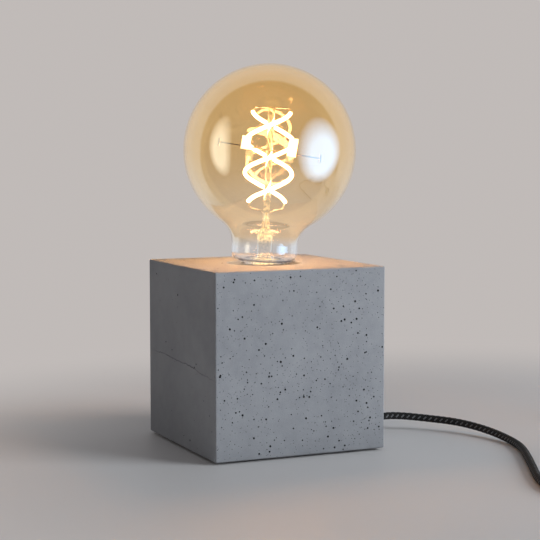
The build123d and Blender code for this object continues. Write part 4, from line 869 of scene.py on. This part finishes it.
def coil_point(turns):
    """Point on the coil's middle line after so many turns, counted from its outer foot."""
    fold = min(max(round(turns / COIL_TURNS_PER_LAYER), 0), COIL_LAYERS)
    past = turns - fold * COIL_TURNS_PER_LAYER
    depth = abs(past)
    layer = max(fold if past >= 0 else fold - 1, 0)
    if 0 < fold < COIL_LAYERS and depth < COIL_FOLD:
        depth = COIL_FOLD / 2 + depth**2 / (2 * COIL_FOLD)
        share = past / (2 * COIL_FOLD) + 0.5
        layer = fold - 1 + share**2 * (3 - 2 * share)
    layer = min(layer, COIL_LAYERS - 1)
    inward = -1 if fold % 2 == 0 else 1
    radius = COIL_MEAN_R - inward * coil_half_width + inward * COIL_STEP * depth
    turn = math.pi / 2 + 2 * math.pi * turns
    return Vector(
        (
            COIL_AT.x + radius * math.cos(turn),
            COIL_AT.y + radius * math.sin(turn),
            COIL_FOOT + cord_r + COIL_LAYER_STEP * layer,
        )
    )


def coil_way(turns):
    """Direction of the coil's middle line after so many turns."""
    return (coil_point(turns + COIL_NUDGE) - coil_point(turns - COIL_NUDGE)).normalized()


coil_count = round(coil_turns * COIL_POINTS_PER_TURN)
coil_points = [coil_point(coil_turns * i / coil_count) for i in range(coil_count + 1)]
coil_start = coil_points[0] - coil_way(0) * CORD_D
coil_end = coil_points[-1] + coil_way(coil_turns) * CORD_D
switch_outlet = Vector((switch_x, stub_high.y, switch_z))
plug_stub_low, plug_stub_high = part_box("cord_in_plug")
plug_inlet = Vector(
    (
        plug_stub_high.x,
        (plug_stub_low.y + plug_stub_high.y) / 2,
        (plug_stub_low.z + plug_stub_high.z) / 2,
    )
)
plug_route = [
    switch_outlet - Vector((0, SLEEVE_LENGTH, 0)),
    switch_outlet,
    switch_outlet + Vector((0, COIL_RUN_IN, 0)),
    *millimetres([(200.5, 228.9, 5.4)]),
    coil_start - coil_way(0) * COIL_RUN_IN,
    coil_start,
    *coil_points,
    coil_end,
    coil_end + coil_way(coil_turns) * COIL_RUN_IN,
    *millimetres([(137.0, 233.5, 13.8), (122.0, 229.5, 9.4)]),
    plug_inlet + Vector((COIL_RUN_IN, 0, 0)),
    plug_inlet,
    plug_inlet - Vector((SLEEVE_LENGTH, 0, 0)),
]
plug_line = centre_line(plug_route)
cord_to_plug = braided_tube("cord_switch_to_plug", plug_line, COARSE_RING, COARSE_SIDES)
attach(cord_to_plug, "lamp")
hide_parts("cord_to_coil", "cord_coil", "cord_to_plug", "cord_in_plug")


# Sleeves, strap, switch and plug
# Strain reliefs are moulded rubber, the strap is woven hook-and-loop tape, and the switch and the
# plug are moulded shells with brass contacts inside.
RUBBER_BLACK = (0.016, 0.016, 0.016, 1)
RUBBER_GREY = (0.035, 0.035, 0.035, 1)
STRAP_BLACK = (0.015, 0.015, 0.016, 1)
STRAP_GREY = (0.06, 0.06, 0.062, 1)
GLOSS_BLACK = (0.02, 0.02, 0.021, 1)
GLOSS_GREY = (0.032, 0.032, 0.033, 1)
rubber = mottled_finish(
    "moulded_rubber", RUBBER_BLACK, RUBBER_GREY, scale=500.0, rough=0.7, depth=0.00005
)
strap = mottled_finish(
    "woven_strap", STRAP_BLACK, STRAP_GREY, scale=1500.0, rough=0.95, depth=0.00006
)
gloss = mottled_finish(
    "gloss_rocker", GLOSS_BLACK, GLOSS_GREY, scale=200.0, rough=0.2, depth=0.00001
)
dress(rubber, "cord_bush", "switch_sleeves", "plug_sleeve")
dress(strap, "coil_tie")
dress(moulded, "switch_base", "switch_cover", "plug_body", "pin_sleeves")
dress(gloss, "switch_rocker")
dress(brass, "rocker_blade", "switch_contacts")

# Floor and background
# A wide pale floor that fades into the pale background far from the lamp. Mirrored in glass, the
# surroundings are bright behind the lamp and dim in front of it.
FLOOR_RADIUS = 12.0
FLOOR_SIDES = 96
FLOOR_PALE = (0.66, 0.64, 0.625, 1)
FLOOR_ROUGHNESS = 0.55
BACKDROP = (0.53, 0.495, 0.48, 1)
FADE_STARTS = 0.17
FADE_ENDS = 0.46
BEHIND_LIT = (0.66, 0.74, 0.82, 1)
TO_FRONT = Vector((0.911, -0.412, 0.0))
FRONT_DIM = (0.1, 0.085, 0.07, 1)
BEHIND_EDGE = (-0.97, -0.65)
FRONT_EDGE = (-0.29, -0.2)


def surroundings(tree, path, way):
    """Colour of the pale background; in a mirror, bright behind the lamp and dim in front."""
    along = place(tree, "ShaderNodeVectorMath", {0: way, 1: TO_FRONT}, operation="DOT_PRODUCT")
    to_front = along.outputs["Value"]
    behind = mixed(tree, spread(tree, to_front, *BEHIND_EDGE, 0.0, 1.0), BACKDROP, BEHIND_LIT)
    in_front = spread(tree, to_front, *FRONT_EDGE, 0.0, 1.0)
    mirrored = maths(tree, "GREATER_THAN", path["Glossy Depth"], 0.5)
    return mixed(tree, mirrored, BACKDROP, mixed(tree, in_front, behind, FRONT_DIM))


def looked_at(tree, path):
    """One where the camera sees a thing, also through glass or in a mirror."""
    by_glass = maths(tree, "MAXIMUM", path["Is Glossy Ray"], path["Is Transmission Ray"])
    return maths(tree, "MAXIMUM", path["Is Camera Ray"], by_glass)


studio_floor, tree, shader = new_finish("studio_floor")
at = object_place(tree)
shader.inputs["Base Color"].default_value = FLOOR_PALE
shader.inputs["Roughness"].default_value = FLOOR_ROUGHNESS
middle = (Vector(cad_box[0]) + Vector(cad_box[1])) / 2
middle.z = 0.0
from_middle = place(tree, "ShaderNodeVectorMath", {0: at, 1: middle}, operation="DISTANCE")
away = from_middle.outputs["Value"]
far = place(
    tree,
    "ShaderNodeMapRange",
    {0: away, 1: FADE_STARTS, 2: FADE_ENDS},
    interpolation_type="SMOOTHSTEP",
).outputs[0]
path = place(tree, "ShaderNodeLightPath").outputs
far = maths(tree, "MULTIPLY", far, looked_at(tree, path))
outward = place(tree, "ShaderNodeVectorMath", {0: at}, operation="NORMALIZE").outputs[0]
room = surroundings(tree, path, outward)
backdrop = place(tree, "ShaderNodeEmission", {"Color": room, "Strength": 1.0})
faded = place(tree, "ShaderNodeMixShader", {0: far, 1: shader.outputs[0], 2: backdrop.outputs[0]})
tree.links.new(faded.outputs[0], tree.nodes["Material Output"].inputs["Surface"])
bm = bmesh.new()
bmesh.ops.create_circle(bm, cap_ends=True, segments=FLOOR_SIDES, radius=FLOOR_RADIUS)
floor_mesh = bpy.data.meshes.new("floor")
bm.to_mesh(floor_mesh)
bm.free()
floor_mesh.materials.append(studio_floor)
new_object("floor", floor_mesh)

# Light
# A tall cool window light from the right, a weaker warm one from the left, and a little light from
# all round. Two panes show in the bulb's glass alone. The bulb lights the top of the cube.
WINDOW_COLOUR = (0.86, 0.93, 1.0)
WINDOW_POWER = 31.0
WINDOW_SIZE = (0.8, 1.5)
WINDOW_AT = Vector((1.0, 1.1, 0.42))
ROOM_COLOUR = (1.0, 0.93, 0.84)
ROOM_POWER = 2.0
ROOM_SIZE = (0.55, 1.1)
ROOM_AT = Vector((-0.1, -1.5, 0.25))
AROUND = (0.175, 0.175, 0.187, 1)
PANE_POWER = 1.45
PANE_COLOUR = (0.42, 0.7, 1.0)
PANE_SIZE = (0.19, 0.21)
PANE_AT = Vector((0.122, 0.099, 0.1475))
GLOW_POWER = 0.36
GLOW_COLOUR = (1.0, 0.93, 0.72)
GLOW_SIZE = (0.09, 0.196)
GLOW_AT = Vector((0.019, -0.151, 0.161))
PANE_MIDDLE = (0.5, 0.5, 0.0)
PANE_EDGE = (0.22, 0.5)
LAMP_MIDDLE = Vector((0.0, 0.0, 0.11))
shiny = bpy.data.collections.new("mirroring_glass")
shiny.objects.link(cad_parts["bulb_glass"])


def soft_light(name, at, size, power, colour, mirrored):
    """A rectangular light that faces the lamp; a mirrored one only shows in the bulb's glass."""
    light = bpy.data.lights.new(name, "AREA")
    light.shape = "RECTANGLE"
    light.size, light.size_y = size
    light.energy = power
    light.color = colour
    holder = new_object(name, light)
    holder.location = at
    holder.rotation_euler = (LAMP_MIDDLE - at).to_track_quat("-Z", "Y").to_euler()
    holder.visible_glossy = mirrored
    holder.visible_diffuse = not mirrored
    holder.visible_transmission = False
    holder.visible_camera = False
    if mirrored:
        holder.light_linking.receiver_collection = shiny
        light.use_nodes = True
        tree = light.node_tree
        place_on_it = place(tree, "ShaderNodeNewGeometry").outputs["Parametric"]
        off_centre = place(
            tree, "ShaderNodeVectorMath", {0: place_on_it, 1: PANE_MIDDLE}, operation="SUBTRACT"
        )
        reach = place(tree, "ShaderNodeVectorMath", {0: off_centre.outputs[0]}, operation="LENGTH")
        soft_edge = spread(tree, reach.outputs["Value"], *PANE_EDGE, 1.0, 0.0)
        tree.links.new(soft_edge, tree.nodes["Emission"].inputs["Strength"])


soft_light("window_light", WINDOW_AT, WINDOW_SIZE, WINDOW_POWER, WINDOW_COLOUR, False)
soft_light("room_light", ROOM_AT, ROOM_SIZE, ROOM_POWER, ROOM_COLOUR, False)
soft_light("window_pane", PANE_AT, PANE_SIZE, PANE_POWER, PANE_COLOUR, True)
soft_light("room_pane", GLOW_AT, GLOW_SIZE, GLOW_POWER, GLOW_COLOUR, True)
world = bpy.data.worlds.new("surroundings")
bpy.context.scene.world = world
world.use_nodes = True
tree = world.node_tree
path = place(tree, "ShaderNodeLightPath").outputs
seen = looked_at(tree, path)
looking = place(tree, "ShaderNodeTexCoord").outputs["Generated"]
room = surroundings(tree, path, looking)
shown = place(tree, "ShaderNodeBackground", {"Color": room, "Strength": 1.0})
ambient = place(tree, "ShaderNodeBackground", {"Color": AROUND, "Strength": 1.0})
sky = place(tree, "ShaderNodeMixShader", {0: seen, 1: ambient.outputs[0], 2: shown.outputs[0]})
tree.links.new(sky.outputs[0], tree.nodes["World Output"].inputs["Surface"])
bpy.context.scene.cycles.caustics_reflective = False
bpy.context.scene.cycles.caustics_refractive = False

# Camera
# It stands in front of the edge between the two visible sides and looks down a little. Its place
# and focal length are fitted to the cube's corners.
CAMERA_FOCAL_PIXELS = 1499.7
IMAGE_WIDTH = 540
CAMERA_AZIMUTH = 65.642
CAMERA_PITCH = 4.815
CAMERA_DISTANCE = 0.83749
CAMERA_ASIDE = 0.00353
CAMERA_HEIGHT = 0.1664
SENSOR = 36.0
turned = math.radians(CAMERA_AZIMUTH)
ahead = Vector((-math.sin(turned), math.cos(turned), 0.0))
aside = Vector((math.cos(turned), math.sin(turned), 0.0))
lens = bpy.data.cameras.new("camera")
lens.sensor_width = SENSOR
lens.lens = CAMERA_FOCAL_PIXELS / IMAGE_WIDTH * SENSOR
camera = new_object("camera", lens)
camera.location = aside * CAMERA_ASIDE - ahead * CAMERA_DISTANCE
camera.location.z = block_low.z + CAMERA_HEIGHT
camera.rotation_euler = (math.radians(90.0 - CAMERA_PITCH), 0.0, turned)
bpy.context.scene.camera = camera
bpy.context.scene.view_settings.view_transform = "Standard"
